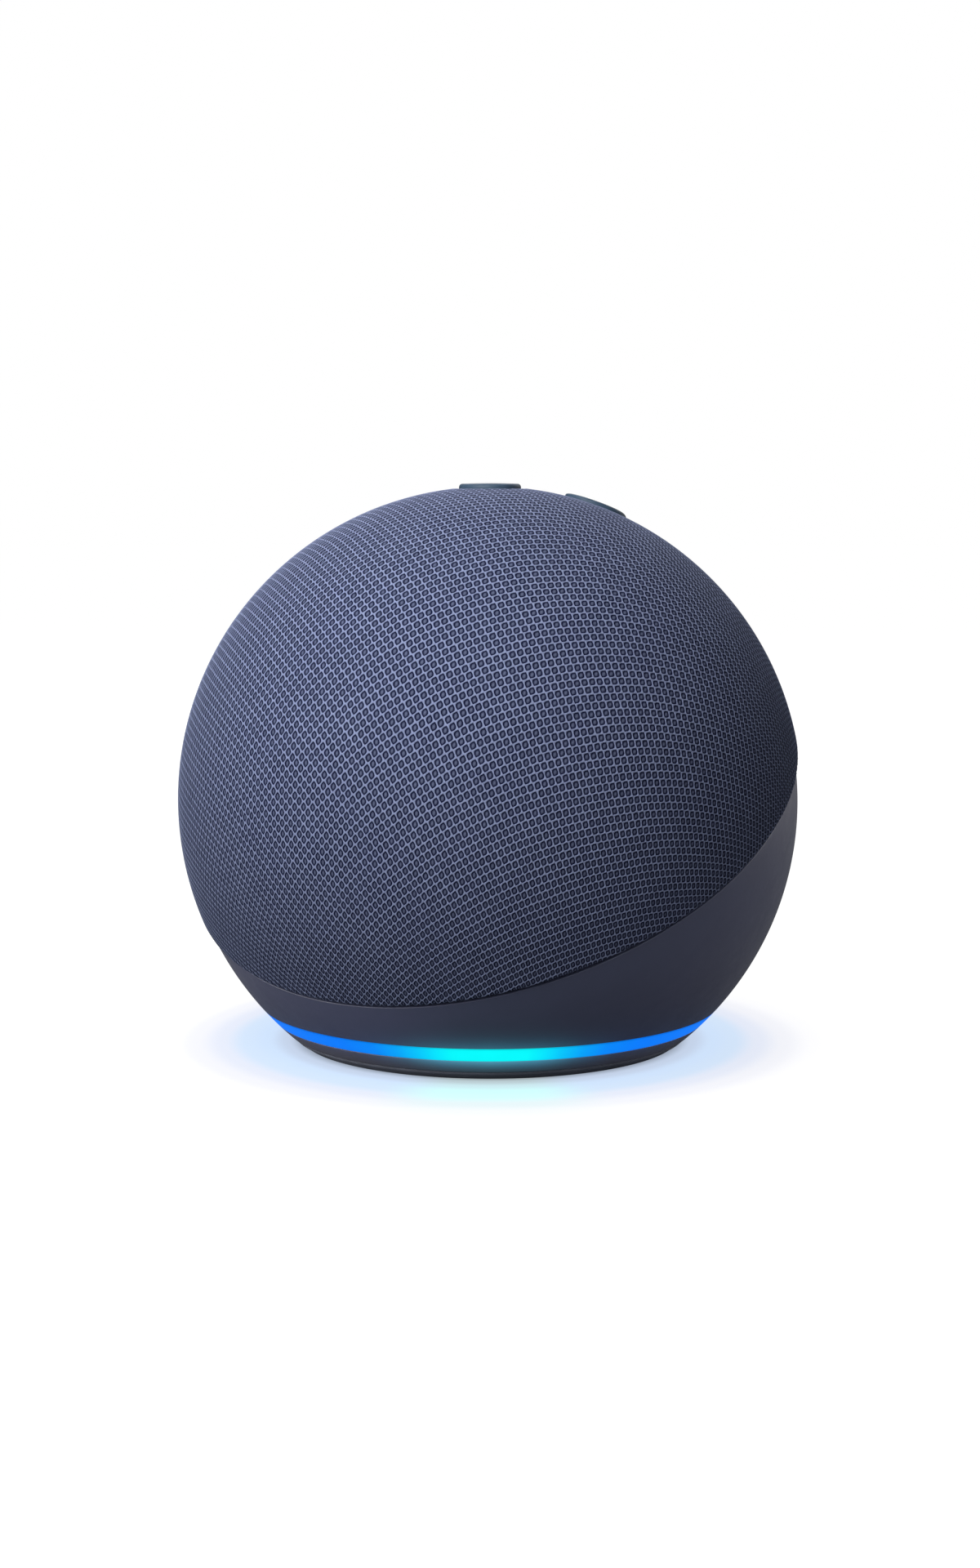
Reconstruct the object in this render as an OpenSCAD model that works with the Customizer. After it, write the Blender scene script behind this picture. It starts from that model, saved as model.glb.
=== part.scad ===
// Ball-shaped smart speaker on a flat rubber foot, with a knitted cover over the
// grille dome, a light ring near the floor and four press buttons on top.
// Millimetres, +Z up, front towards -Y, origin at the centre of the floor contact.

/* [Ball] */
// Radius of the knitted cover
cover_r = 50; // [49.8:0.1:50.4]
// Height of the ball's centre above the floor
ball_z = 39; // [38.9:0.05:39.2]
// Thickness of the knitted cover
cover_t = 0.8; // [0.6:0.1:0.8]
// Radius of the smooth rear shell
shell_r = 49.3; // [49.2:0.1:49.5]
// How far the rear shell's centre sits below the cover's centre
shell_drop = 0.45; // [0.3:0.05:0.5]
// Wall of the rear shell
shell_t = 2.2; // [2:0.1:2.3]
// Wall of the grille dome under the cover
grille_t = 2; // [1.6:0.1:2]

/* [Seam between cover and rear shell] */
// Lean of the seam plane, low at the front and high at the back
seam_tilt = 29.6; // [28:0.2:31]
// Distance of the seam plane from the ball's centre
seam_d = -2.1; // [-3:0.1:-1.5]
// Width of the dark joint line
seam_gap = 0.5; // [0.3:0.1:0.7]

/* [Base stack] */
// Thickness of the rubber foot
foot_h = 1.5; // [1.2:0.1:1.6]
// Height of the light ring's lower edge
ring_z0 = 3.7; // [3.6:0.05:3.8]
// Height of the light ring's upper edge
ring_z1 = 6.0; // [5.8:0.1:6.2]

/* [Buttons] */
// Radius of a button cap
button_r = 4.95; // [4.6:0.05:5]
// How far a cap stands above the knit
button_proud = 0.62; // [0.5:0.02:0.8]
// Radius of the circle that the four buttons stand on
button_ring = 12.4; // [12:0.1:12.8]
// Gap around a cap
button_gap = 0.3; // [0.25:0.05:0.4]

/* [Driver] */
// Height of the driver's axis
driver_z = 38; // [37.8:0.1:38.2]
// Depth of the driver's front flange behind the ball's centre
driver_y = -25; // [-25.4:0.1:-24.8]

/* [Hidden] */
$fn = 72;

shell_z = ball_z - shell_drop;
grille_r = cover_r - cover_t - 0.1;
grille_in = grille_r - grille_t;
shell_in = shell_r - shell_t;
navy = [0.19, 0.21, 0.33];
navy_dark = [0.14, 0.15, 0.24];
board_green = [0.05, 0.30, 0.18];
steel = [0.62, 0.63, 0.66];

// Button centres: action in front, then right, back and left around the ring.
btn_front = [0, 0];
btn_right = [button_ring, button_ring];
btn_back = [0, 2 * button_ring];
btn_left = [-button_ring, button_ring];
btn_all = [btn_front, btn_right, btn_back, btn_left];
btn_hole = button_r + button_gap;
flange_r = 5.9;
carrier_top = grille_in - 2.5;
board_z = 67;
board_t = 1.2;
plunger_top = board_z + 4.8;
base_holes = 24;

function on_ball(r, p) = ball_z + sqrt(r * r - p[0] * p[0] - p[1] * p[1]);

module ball(r, z = ball_z) { translate([0, 0, z]) sphere(r = r, $fn = 128); }
module above_seam(off) { translate([0, 0, ball_z]) rotate([seam_tilt, 0, 0]) translate([-80, -80, seam_d + off]) cube([160, 160, 160]); }
module below_seam(off) { translate([0, 0, ball_z]) rotate([seam_tilt, 0, 0]) translate([-80, -80, seam_d + off - 160]) cube([160, 160, 160]); }
module slab(z0, z1, half = 60) { translate([-half, -half, z0]) cube([2 * half, 2 * half, z1 - z0]); }
module shell_between(z0, z1) { intersection() { ball(shell_r, shell_z); slab(z0, z1); } }
module tube(ro, ri, z0, z1) { difference() { translate([0, 0, z0]) cylinder(r = ro, h = z1 - z0); translate([0, 0, z0 - 1]) cylinder(r = ri, h = z1 - z0 + 2); } }
module at_driver() { translate([0, driver_y, driver_z]) rotate([90, 0, 0]) children(); }
module rod(p, q, r) {
    v = q - p;
    l = norm(v);
    translate(p) rotate([0, acos(v[2] / l), atan2(v[1], v[0])]) cylinder(r = r, h = l, $fn = 24);
}
module wire(pts, r) {
    for (i = [0:len(pts) - 2]) rod(pts[i], pts[i + 1], r);
    for (i = [1:1:len(pts) - 2]) translate(pts[i]) sphere(r = r, $fn = 24);
}
// Screw with its head on z = 0 and its shaft towards -Z
module screw(sr, sl, hr, hh) {
    difference() {
        union() {
            translate([0, 0, -sl]) cylinder(r = sr, h = sl + 0.1, $fn = 32);
            cylinder(r = hr, h = hh, $fn = 32);
        }
        for (a = [0, 90]) rotate([0, 0, a]) translate([-hr * 0.55, -hr * 0.11, hh * 0.45]) cube([hr * 1.1, hr * 0.22, hh]);
    }
}
// Rounded plate: a box with its four vertical edges rounded, on z = 0
module plate(w, d, h, r) {
    linear_extrude(height = h) union() {
        square([w - 2 * r, d], center = true);
        square([w, d - 2 * r], center = true);
        for (x = [-1, 1], y = [-1, 1]) translate([x * (w / 2 - r), y * (d / 2 - r)]) circle(r = r, $fn = 32);
    }
}

// ---------------------------------------------------------------- outside
module fabric_cover() {
    color(navy) difference() {
        intersection() {
            difference() { ball(cover_r); ball(cover_r - cover_t); }
            above_seam(seam_gap / 2);
        }
        for (p = btn_all) translate([p[0], p[1], 70]) cylinder(r = btn_hole, h = 30);
    }
}

module front_grille() {
    color(navy_dark) difference() {
        union() {
            intersection() {
                difference() { ball(grille_r); ball(grille_in); }
                above_seam(seam_gap / 2);
            }
            // lip that locates inside the rear shell
            intersection() {
                difference() { ball(grille_in + 0.3); ball(grille_in - 1.5); }
                above_seam(seam_gap / 2);
                below_seam(2.5);
            }
            intersection() {
                difference() { ball(grille_in - 0.45); ball(grille_in - 1.5); }
                above_seam(-3.5);
                below_seam(1);
            }
        }
        for (p = btn_all) translate([p[0], p[1], 70]) cylinder(r = btn_hole, h = 30);
        // round perforations in front of the driver
        for (i = [-5:5], j = [-4:4])
            let (x = (i + (j % 2 == 0 ? 0 : 0.5)) * 5.6, z = j * 4.85)
                if (x * x + z * z < 21.5 * 21.5)
                    translate([x, -30, driver_z + 4 + z]) rotate([90, 0, 0]) cylinder(r = 1.7, h = 25, $fn = 24);
    }
}

jack_z = 22;
module rear_housing() {
    color(navy_dark) difference() {
        intersection() {
            difference() { ball(shell_r, shell_z); ball(shell_in, shell_z); }
            below_seam(-seam_gap / 2);
            slab(ring_z1 + 0.03, 90);
        }
        translate([0, 36, jack_z]) rotate([-90, 0, 0]) cylinder(r = 8.05, h = 16);
    }
}

// Cup that frames the power inlet and closes the hole in the rear shell
module inlet_bezel() {
    color(navy_dark) difference() {
        union() {
            intersection() {
                ball(shell_r - 0.15, shell_z);
                translate([0, 39.5, jack_z]) rotate([-90, 0, 0]) cylinder(r = 8, h = 12);
            }
            intersection() {
                ball(shell_in - 0.05, shell_z);
                translate([0, 39.5, jack_z]) rotate([-90, 0, 0]) cylinder(r = 9.4, h = 1.2);
            }
        }
        translate([0, 42, jack_z]) rotate([-90, 0, 0]) cylinder(r = 6.5, h = 12);
        translate([0, 36, jack_z]) rotate([-90, 0, 0]) cylinder(r = 4.1, h = 12);
    }
}

module light_ring() {
    color([0.2, 0.65, 1.0]) difference() {
        shell_between(ring_z0 + 0.03, ring_z1 - 0.03);
        translate([0, 0, -1]) cylinder(r = 32.4, h = 12, $fn = 128);
    }
}

module base_trim() {
    color(navy_dark) difference() {
        shell_between(foot_h, ring_z0);
        translate([0, 0, -1]) cylinder(r = 29.8, h = 12, $fn = 128);
    }
}

module rubber_foot() {
    color([0.12, 0.12, 0.14]) difference() {
        shell_between(0, foot_h);
        translate([0, 0, -1]) cylinder(r = 20, h = 12);
        // shallow tread groove
        translate([0, 0, -1]) tube(25.6, 24.8, 0, 1.4);
    }
}

module bottom_cover() {
    color([0.16, 0.17, 0.20]) difference() {
        union() {
            translate([0, 0, foot_h]) cylinder(r = 29.6, h = 1.9, $fn = 128);
            translate([0, 0, 0.7]) cylinder(r = 19.8, h = foot_h - 0.7 + 0.1);
        }
        for (a = [45:90:315]) rotate([0, 0, a]) translate([base_holes, 0, 0]) {
            cylinder(r = 1.3, h = 8);
            cylinder(r = 2.4, h = foot_h + 1.1);
        }
        // drain and vent slots in the middle
        for (i = [-2:2]) translate([i * 4 - 0.6, -7, 0]) cube([1.2, 14, 6]);
    }
}

module base_screws() {
    color(steel) for (a = [45:90:315]) rotate([0, 0, a]) translate([base_holes, 0, foot_h + 1.08]) mirror([0, 0, 1]) screw(1.2, 5.0, 2.2, 1.0);
}

module inner_chassis() {
    color([0.20, 0.21, 0.23]) difference() {
        union() {
            translate([0, 0, 7.6]) cylinder(r = 35, h = 1.8, $fn = 128);
            for (a = [45:90:315]) rotate([0, 0, a]) translate([base_holes, 0, foot_h + 1.95]) cylinder(r = 3, h = 5);
            // saddle under the speaker enclosure
            translate([-15, -22, 9.3]) cube([30, 16, 6]);
            // brackets for the main board
            for (x = [-20, 20]) translate([x - 3.5, 8.8, 9.3]) cube([7, 3.1, 13]);
            // posts for the power board
            for (x = [-8.5, 8.5]) translate([x, 27.5, 9.3]) cylinder(r = 2.5, h = 5.25);
        }
        translate([0, 20, driver_z]) rotate([90, 0, 0]) cylinder(r = 27.6, h = 60);
        for (a = [45:90:315]) rotate([0, 0, a]) translate([base_holes, 0, 2]) cylinder(r = 1.22, h = 6);
        for (x = [-20, 20]) translate([x, 6, 18]) rotate([-90, 0, 0]) cylinder(r = 1.02, h = 10);
        // pass for the light cable
        translate([-14, 9, 6]) cube([7, 5, 5]);
        translate([0, -2, 6]) cylinder(r = 8, h = 5);
        for (x = [-8.5, 8.5]) translate([x, 27.5, 8]) cylinder(r = 0.92, h = 8);
    }
}

// ---------------------------------------------------------------- buttons
module button_at(p) {
    difference() {
        intersection() {
            translate([p[0], p[1], 60]) cylinder(r = button_r, h = 40);
            ball(cover_r + button_proud);
        }
        ball(grille_in - 1.3);
    }
    // retaining flange under the grille
    intersection() {
        translate([p[0], p[1], 60]) cylinder(r = flange_r, h = 40);
        difference() { ball(grille_in - 0.35); ball(grille_in - 1.3); }
    }
    // stem down to the switch
    intersection() {
        translate([p[0], p[1], plunger_top]) cylinder(r = 1.5, h = 30, $fn = 32);
        ball(grille_in - 1);
    }
}
module plunger_at(p) { translate([p[0], p[1], plunger_top - 2]) cylinder(r = 1.75, h = 2, $fn = 32); }

module volume_up_button() { color([0.30, 0.34, 0.44]) button_at(btn_right); }
module volume_down_button() { color([0.30, 0.34, 0.44]) button_at(btn_left); }
module action_button() { color([0.30, 0.34, 0.44]) button_at(btn_front); }
module mute_button() { color([0.30, 0.34, 0.44]) button_at(btn_back); }
module volume_up_plunger() { color([0.85, 0.83, 0.78]) plunger_at(btn_right); }
module volume_down_plunger() { color([0.85, 0.83, 0.78]) plunger_at(btn_left); }
module action_plunger() { color([0.85, 0.83, 0.78]) plunger_at(btn_front); }
module mute_plunger() { color([0.85, 0.83, 0.78]) plunger_at(btn_back); }

module boss_spots() { for (x = [-9.5, 9.5], y = [-9.5, 9.5]) translate([x, button_ring + y, 0]) children(); }

module button_carrier() {
    color([0.85, 0.86, 0.88]) difference() {
        union() {
            intersection() {
                difference() { ball(carrier_top); ball(carrier_top - 1.4); }
                translate([0, button_ring, plunger_top + 0.5]) cylinder(r = 20, h = 60);
            }
            intersection() {
                difference() { ball(grille_in - 0.05); ball(carrier_top - 1.4); }
                translate([0, button_ring, 40]) tube(20.2, 18.9, 0, 60);
            }
            intersection() {
                ball(carrier_top - 0.7);
                boss_spots() translate([0, 0, board_z + board_t]) cylinder(r = 2.2, h = 20, $fn = 32);
            }
        }
        for (p = btn_all) translate([p[0], p[1], 60]) cylinder(r = 1.6, h = 40, $fn = 32);
        boss_spots() translate([0, 0, 60]) cylinder(r = 0.82, h = 14, $fn = 32);
    }
}

module top_board() {
    color(board_green) difference() {
        translate([0, button_ring, board_z]) cylinder(r = 17.5, h = board_t);
        boss_spots() translate([0, 0, 60]) cylinder(r = 0.9, h = 17, $fn = 32);
    }
}
module top_board_screws() { color(steel) boss_spots() translate([0, 0, board_z - 0.02]) mirror([0, 0, 1]) screw(0.8, 5, 1.6, 0.9); }

module tact_switches() {
    color([0.12, 0.12, 0.13]) for (p = btn_all) translate([p[0], p[1], board_z + board_t]) difference() {
        translate([0, 0, 1.3]) cube([6, 6, 2.6], center = true);
        translate([0, 0, 0.8]) cylinder(r = 1.85, h = 3, $fn = 32);
    }
}

module microphones() {
    color([0.80, 0.76, 0.60]) for (x = [-5, 0, 5]) translate([x - 1.4, button_ring - 1.9, board_z + board_t]) difference() {
        cube([2.8, 3.8, 1.1]);
        translate([1.4, 1, 0.5]) cylinder(r = 0.35, h = 2, $fn = 24);
    }
}

module top_flex_cable() {
    color([0.75, 0.45, 0.10]) translate([-5, 0, 0]) rotate([90, 0, 90]) linear_extrude(height = 10)
        polygon([[10.6, 59.1], [10.85, 59.1], [10.85, 61.5], [14.15, 64.8], [14.15, 66.95], [13.9, 66.95], [13.9, 64.9], [10.6, 61.6]]);
}

// ---------------------------------------------------------------- speaker enclosure
module ear_spots() { for (x = [-21.2, 21.2], y = [-21.2, 21.2]) translate([x, y, 0]) children(); }

module enclosure_baffle() {
    color([0.18, 0.18, 0.20]) at_driver() translate([0, 0, 0.5]) linear_extrude(height = 2) difference() {
        union() {
            circle(r = 27.5);
            ear_spots() circle(r = 3.2, $fn = 32);
            for (a = [45, 135]) rotate(a) square([57, 4.8], center = true);
        }
        circle(r = 23);
        ear_spots() circle(r = 1.1, $fn = 32);
    }
}

module enclosure_can() {
    color([0.18, 0.18, 0.20]) at_driver() difference() {
        union() {
            translate([0, 0, -29]) cylinder(r = 27.5, h = 29.1);
            ear_spots() translate([0, 0, -8]) cylinder(r = 3.2, h = 8.1, $fn = 32);
            for (a = [45, 135]) rotate([0, 0, a]) translate([-30, -2, -7]) cube([60, 4, 7.1]);
            for (x = [-18, 18]) translate([x, 14, -36.9]) cylinder(r = 3, h = 10);
        }
        translate([0, 0, -27]) cylinder(r = 25.5, h = 23.4);
        translate([0, 0, -10]) cylinder(r = 23.8, h = 12);
        translate([0, 0, -1.62]) cylinder(r = 25.3, h = 6);
        ear_spots() translate([0, 0, -7]) cylinder(r = 0.92, h = 12, $fn = 32);
        for (x = [-18, 18]) translate([x, 14, -38]) cylinder(r = 1.02, h = 8, $fn = 32);
        translate([-20, 0, -35]) cylinder(r = 2.6, h = 12, $fn = 32);
    }
}

module enclosure_seal() { color([0.10, 0.10, 0.10]) at_driver() tube(27.2, 25.8, 0.12, 0.48); }
module enclosure_screws() { color(steel) at_driver() ear_spots() translate([0, 0, 2.52]) screw(0.9, 7, 1.9, 1.1); }

module lead_grommet() {
    color([0.08, 0.08, 0.08]) at_driver() difference() {
        union() {
            translate([-20, 0, -29.4]) cylinder(r = 2.58, h = 2.8, $fn = 32);
            translate([-20, 0, -29.8]) cylinder(r = 3.4, h = 0.78, $fn = 32);
            translate([-20, 0, -26.98]) cylinder(r = 3.4, h = 0.8, $fn = 32);
        }
        for (y = [-1.2, 1.2]) translate([-20, y, -32]) cylinder(r = 0.52, h = 8, $fn = 24);
    }
}

// ---------------------------------------------------------------- driver
module driver_basket() {
    color([0.16, 0.16, 0.17]) at_driver() difference() {
        union() {
            rotate_extrude($fn = 96) polygon([[22, 0], [25, 0], [25, -1.6], [23.3, -1.6], [16.3, -10.4], [16.3, -13.4], [8.6, -13.4], [8.6, -12.2], [15, -12.2], [15, -10], [22, -1.2]]);
            // tag strip for the two terminals
            translate([-21.5, -2.6, -10.6]) cube([6, 5.2, 1]);
        }
        for (a = [30:60:330]) rotate([0, 0, a]) translate([14, -4, -9]) cube([12, 8, 5]);
        translate([0, 0, -11.9]) cylinder(r = 15, h = 1.8);
    }
}
module driver_top_plate() { color(steel) at_driver() tube(14, 7.7, -16, -13.42); }
module driver_magnet() { color([0.25, 0.25, 0.27]) at_driver() tube(16, 8.2, -22, -16.02); }
module driver_yoke() {
    color(steel) at_driver() rotate_extrude($fn = 96) polygon([[1.8, -24.5], [15, -24.5], [15, -22.02], [6.1, -22.02], [6.1, -13.6], [1.8, -13.6]]);
}
module voice_coil() {
    color([0.72, 0.42, 0.18]) at_driver() rotate_extrude($fn = 72) polygon([[6.5, -19.2], [6.75, -19.2], [6.75, -17.5], [7.25, -17.5], [7.25, -12], [6.75, -12], [6.75, -7.6], [6.5, -7.6]]);
}
module spider() {
    color([0.75, 0.62, 0.30]) at_driver() rotate_extrude($fn = 72) polygon(concat(
        [for (i = [0:8]) [6.85 + i * 0.98, -9.7 + (i % 2) * 0.45]],
        [for (i = [8:-1:0]) [6.85 + i * 0.98, -10.0 + (i % 2) * 0.45]]));
}
module cone() {
    color([0.14, 0.14, 0.15]) at_driver() rotate_extrude($fn = 96) polygon([[6.8, -8.5], [6.8, -7.7], [12.5, -4.0], [18.4, -0.9], [18.4, -1.5], [12.7, -4.6]]);
}
module dust_cap() {
    color([0.10, 0.10, 0.11]) at_driver() intersection() {
        difference() {
            translate([0, 0, -18.4]) sphere(r = 14.3, $fn = 96);
            translate([0, 0, -18.4]) sphere(r = 13.9, $fn = 96);
        }
        translate([-20, -20, -6.6]) cube([40, 40, 10]);
    }
}
module surround() {
    color([0.07, 0.07, 0.07]) at_driver() union() {
        rotate_extrude($fn = 96) difference() {
            translate([20.35, 0]) circle(r = 2, $fn = 48);
            translate([20.35, 0]) circle(r = 1.6, $fn = 48);
            translate([10, -10]) square([20, 10]);
        }
        tube(23.4, 21.9, 0.02, 0.4);
        rotate_extrude($fn = 96) polygon([[17.4, -1.3], [18.35, -0.85], [18.45, 0.05], [18.7, 0.05], [18.7, 0.3], [18.4, 0.3], [18.2, -0.45], [17.3, -0.95]]);
    }
}
module driver_gasket() { color([0.2, 0.2, 0.2]) at_driver() tube(25, 23.5, 0.02, 0.48); }
module driver_terminals() {
    color([0.80, 0.65, 0.25]) at_driver() for (y = [-1.2, 1.2]) translate([-20.6, y - 0.45, -13.4]) cube([1.2, 0.9, 2.78]);
}
module speaker_leads() {
    color([0.7, 0.1, 0.1]) for (z = [-1.2, 1.2]) wire([[-20, driver_y + 13.45, driver_z + z], [-20, 7.85, driver_z + z]], 0.5);
}

// ---------------------------------------------------------------- electronics
board_y = 12;
module main_board() {
    color(board_green) translate([0, board_y, 38]) rotate([-90, 0, 0]) difference() {
        plate(54, 48, 1.6, 3);
        for (x = [-18, 18]) translate([x, -14, -1]) cylinder(r = 1.1, h = 4, $fn = 32);
        for (x = [-20, 20]) translate([x, 20, -1]) cylinder(r = 1.1, h = 4, $fn = 32);
        for (x = [-11, 11]) translate([x, 11, -1]) cylinder(r = 0.92, h = 4, $fn = 32);
    }
}
module main_board_screws() {
    color(steel) {
        for (x = [-18, 18]) translate([x, board_y + 1.62, 52]) rotate([-90, 0, 0]) screw(1, 6, 2, 1.2);
        for (x = [-20, 20]) translate([x, board_y + 1.62, 18]) rotate([-90, 0, 0]) screw(1, 4.4, 2, 1.2);
    }
}
module processor_chip() { color([0.10, 0.10, 0.11]) translate([0, board_y + 1.6, 42]) rotate([-90, 0, 0]) plate(14, 14, 1.2, 0.4); }
module thermal_pad() { color([0.55, 0.65, 0.80]) translate([0, board_y + 2.8, 42]) rotate([-90, 0, 0]) plate(13, 13, 1.38, 0.3); }
module memory_chips() { color([0.11, 0.11, 0.12]) for (x = [-9, 4]) translate([x, board_y + 1.6, 54]) rotate([-90, 0, 0]) translate([2.5, 0, 0]) plate(10, 8, 1, 0.3); }
module wifi_shield() {
    color([0.75, 0.76, 0.78]) translate([-21.4, board_y + 1.6, 36]) rotate([-90, 0, 0]) difference() {
        plate(10, 14, 2, 0.6);
        for (i = [-1, 0, 1], j = [-2:2]) translate([i * 2.6, j * 2.4, 1.7]) cylinder(r = 0.5, h = 1, $fn = 24);
    }
}
module power_capacitors() {
    color([0.60, 0.62, 0.66]) for (x = [-13, -5, 3]) translate([x, board_y, 24]) rotate([90, 0, 0]) union() {
        cylinder(r = 3.1, h = 1);
        cylinder(r = 2.9, h = 6.2);
    }
}
module power_inductors() { color([0.28, 0.28, 0.30]) for (x = [11, 18.5]) translate([x, board_y, 26]) rotate([90, 0, 0]) plate(6, 6, 3, 1); }
module board_connectors() {
    color([0.88, 0.86, 0.80]) {
        translate([-6.5, board_y - 2.6, 56]) cube([13, 2.6, 3]);
        translate([-23, board_y - 4, driver_z - 4]) cube([6, 4, 8]);
        translate([-14, board_y - 2.4, 15.2]) cube([7, 2.4, 2.6]);
        translate([4, board_y + 1.6, 15]) cube([7, 3, 5]);
    }
}
module heat_sink() {
    color([0.66, 0.68, 0.70]) difference() {
        union() {
            translate([-15, board_y + 4.2, 24]) cube([30, 2.5, 33]);
            for (i = [-4:4]) translate([i * 3.55 - 0.7, board_y + 6.6, 31]) cube([1.4, 11.4, 26]);
            for (x = [-11, 11]) translate([x, board_y + 1.62, 27]) rotate([-90, 0, 0]) cylinder(r = 2.1, h = 3, $fn = 32);
        }
        for (x = [-11, 11]) translate([x, board_y, 27]) rotate([-90, 0, 0]) cylinder(r = 0.95, h = 10, $fn = 32);
    }
}
module heat_sink_screws() { color(steel) for (x = [-11, 11]) translate([x, board_y + 6.72, 27]) rotate([-90, 0, 0]) screw(0.9, 6.4, 1.8, 1.1); }

module power_board() {
    color(board_green) translate([0, 30, 14.6]) difference() {
        plate(24, 13, 1.6, 1.5);
        for (x = [-8.5, 8.5]) translate([x, -2.5, -1]) cylinder(r = 0.95, h = 5, $fn = 32);
    }
}
module dc_jack() {
    color([0.09, 0.09, 0.10]) difference() {
        union() {
            translate([-5, 30, 16.22]) cube([10, 9.4, 11.3]);
            translate([0, 38, jack_z]) rotate([-90, 0, 0]) cylinder(r = 4, h = 4.3, $fn = 48);
        }
        translate([0, 32, jack_z]) rotate([-90, 0, 0]) cylinder(r = 2.85, h = 12, $fn = 48);
        translate([0, 29, jack_z]) rotate([-90, 0, 0]) cylinder(r = 1.02, h = 12, $fn = 32);
    }
}
module dc_jack_pin() {
    color([0.78, 0.79, 0.80]) union() {
        translate([0, 29.5, jack_z]) rotate([-90, 0, 0]) cylinder(r = 1, h = 10.9, $fn = 32);
        translate([0, 40.4, jack_z]) sphere(r = 1, $fn = 32);
    }
}
module power_leads() {
    color([0.75, 0.15, 0.12]) for (x = [6.3, 8.7]) rod([x, board_y + 4.62, 16.75], [x, 26.4, 16.75], 0.5);
}

module led_board() {
    color([0.90, 0.91, 0.92]) tube(31.8, 27.6, ring_z0 + 0.05, ring_z0 + 0.75);
}
module leds() {
    color([0.95, 0.95, 0.80]) for (a = [0:20:340]) rotate([0, 0, a]) translate([29.2, -1.5, ring_z0 + 0.75]) cube([2.2, 3, 1.2]);
}
module led_flex_cable() {
    color([0.75, 0.45, 0.10]) translate([-13, 0, 0]) rotate([90, 0, 90]) linear_extrude(height = 5)
        polygon([[10.3, 15.15], [10.55, 15.15], [10.55, 5.6], [11.2, 4.75], [24.8, 4.75], [24.8, 4.5], [11.1, 4.5], [10.3, 5.4]]);
}
module wifi_antennas() {
    color([0.80, 0.60, 0.20]) for (s = [-1, 1]) translate([s * 41.6 - 0.4, -3, 28]) cube([0.8, 15, 11]);
}

fabric_cover();
front_grille();
rear_housing();
inlet_bezel();
light_ring();
base_trim();
bottom_cover();
rubber_foot();
inner_chassis();
base_screws();
volume_up_button();
volume_down_button();
action_button();
mute_button();
volume_up_plunger();
volume_down_plunger();
action_plunger();
mute_plunger();
button_carrier();
top_board();
tact_switches();
microphones();
top_board_screws();
top_flex_cable();
enclosure_baffle();
enclosure_can();
enclosure_seal();
enclosure_screws();
lead_grommet();
driver_basket();
driver_top_plate();
driver_magnet();
driver_yoke();
voice_coil();
spider();
cone();
dust_cap();
surround();
driver_gasket();
driver_terminals();
speaker_leads();
main_board();
processor_chip();
memory_chips();
wifi_shield();
power_capacitors();
power_inductors();
board_connectors();
thermal_pad();
heat_sink();
heat_sink_screws();
main_board_screws();
power_board();
dc_jack();
dc_jack_pin();
power_leads();
led_board();
leds();
led_flex_cable();
wifi_antennas();
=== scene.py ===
import math

import bpy
import numpy as np
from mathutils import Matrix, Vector


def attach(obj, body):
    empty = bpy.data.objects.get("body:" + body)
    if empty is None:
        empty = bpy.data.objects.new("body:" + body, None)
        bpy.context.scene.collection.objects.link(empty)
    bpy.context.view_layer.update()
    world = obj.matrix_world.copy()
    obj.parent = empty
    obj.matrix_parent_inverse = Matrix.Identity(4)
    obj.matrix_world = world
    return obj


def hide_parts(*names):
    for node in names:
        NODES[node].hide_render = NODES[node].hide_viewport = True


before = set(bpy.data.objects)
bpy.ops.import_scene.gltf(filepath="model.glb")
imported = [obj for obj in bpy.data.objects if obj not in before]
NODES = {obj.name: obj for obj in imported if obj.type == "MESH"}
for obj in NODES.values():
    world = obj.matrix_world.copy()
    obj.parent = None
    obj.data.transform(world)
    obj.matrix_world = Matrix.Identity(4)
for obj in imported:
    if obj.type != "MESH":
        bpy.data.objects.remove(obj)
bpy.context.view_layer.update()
scene = bpy.context.scene

MM = 0.001
BALL = np.array([0.0, 0.0, 39.0])          # ball centre, mm
COVER_R = 50.0
SHELL_R, SHELL_Z = 49.3, 38.55
SEAM_TILT, SEAM_D, SEAM_GAP = math.radians(29.6), -2.1, 0.5
FOOT_H, RING_Z0, RING_Z1 = 1.5, 3.7, 6.0
BTN_R, BTN_GAP, BTN_RING, BTN_PROUD = 4.95, 0.3, 12.4, 0.62
BTN = {"action": (0.0, 0.0), "volume_up": (BTN_RING, BTN_RING),
       "mute": (0.0, 2 * BTN_RING), "volume_down": (-BTN_RING, BTN_RING)}
SEAM_N = np.array([0.0, -math.sin(SEAM_TILT), math.cos(SEAM_TILT)])
CYAN_AZ = math.radians(30.7)               # where the light ring's cyan part is centred


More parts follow.
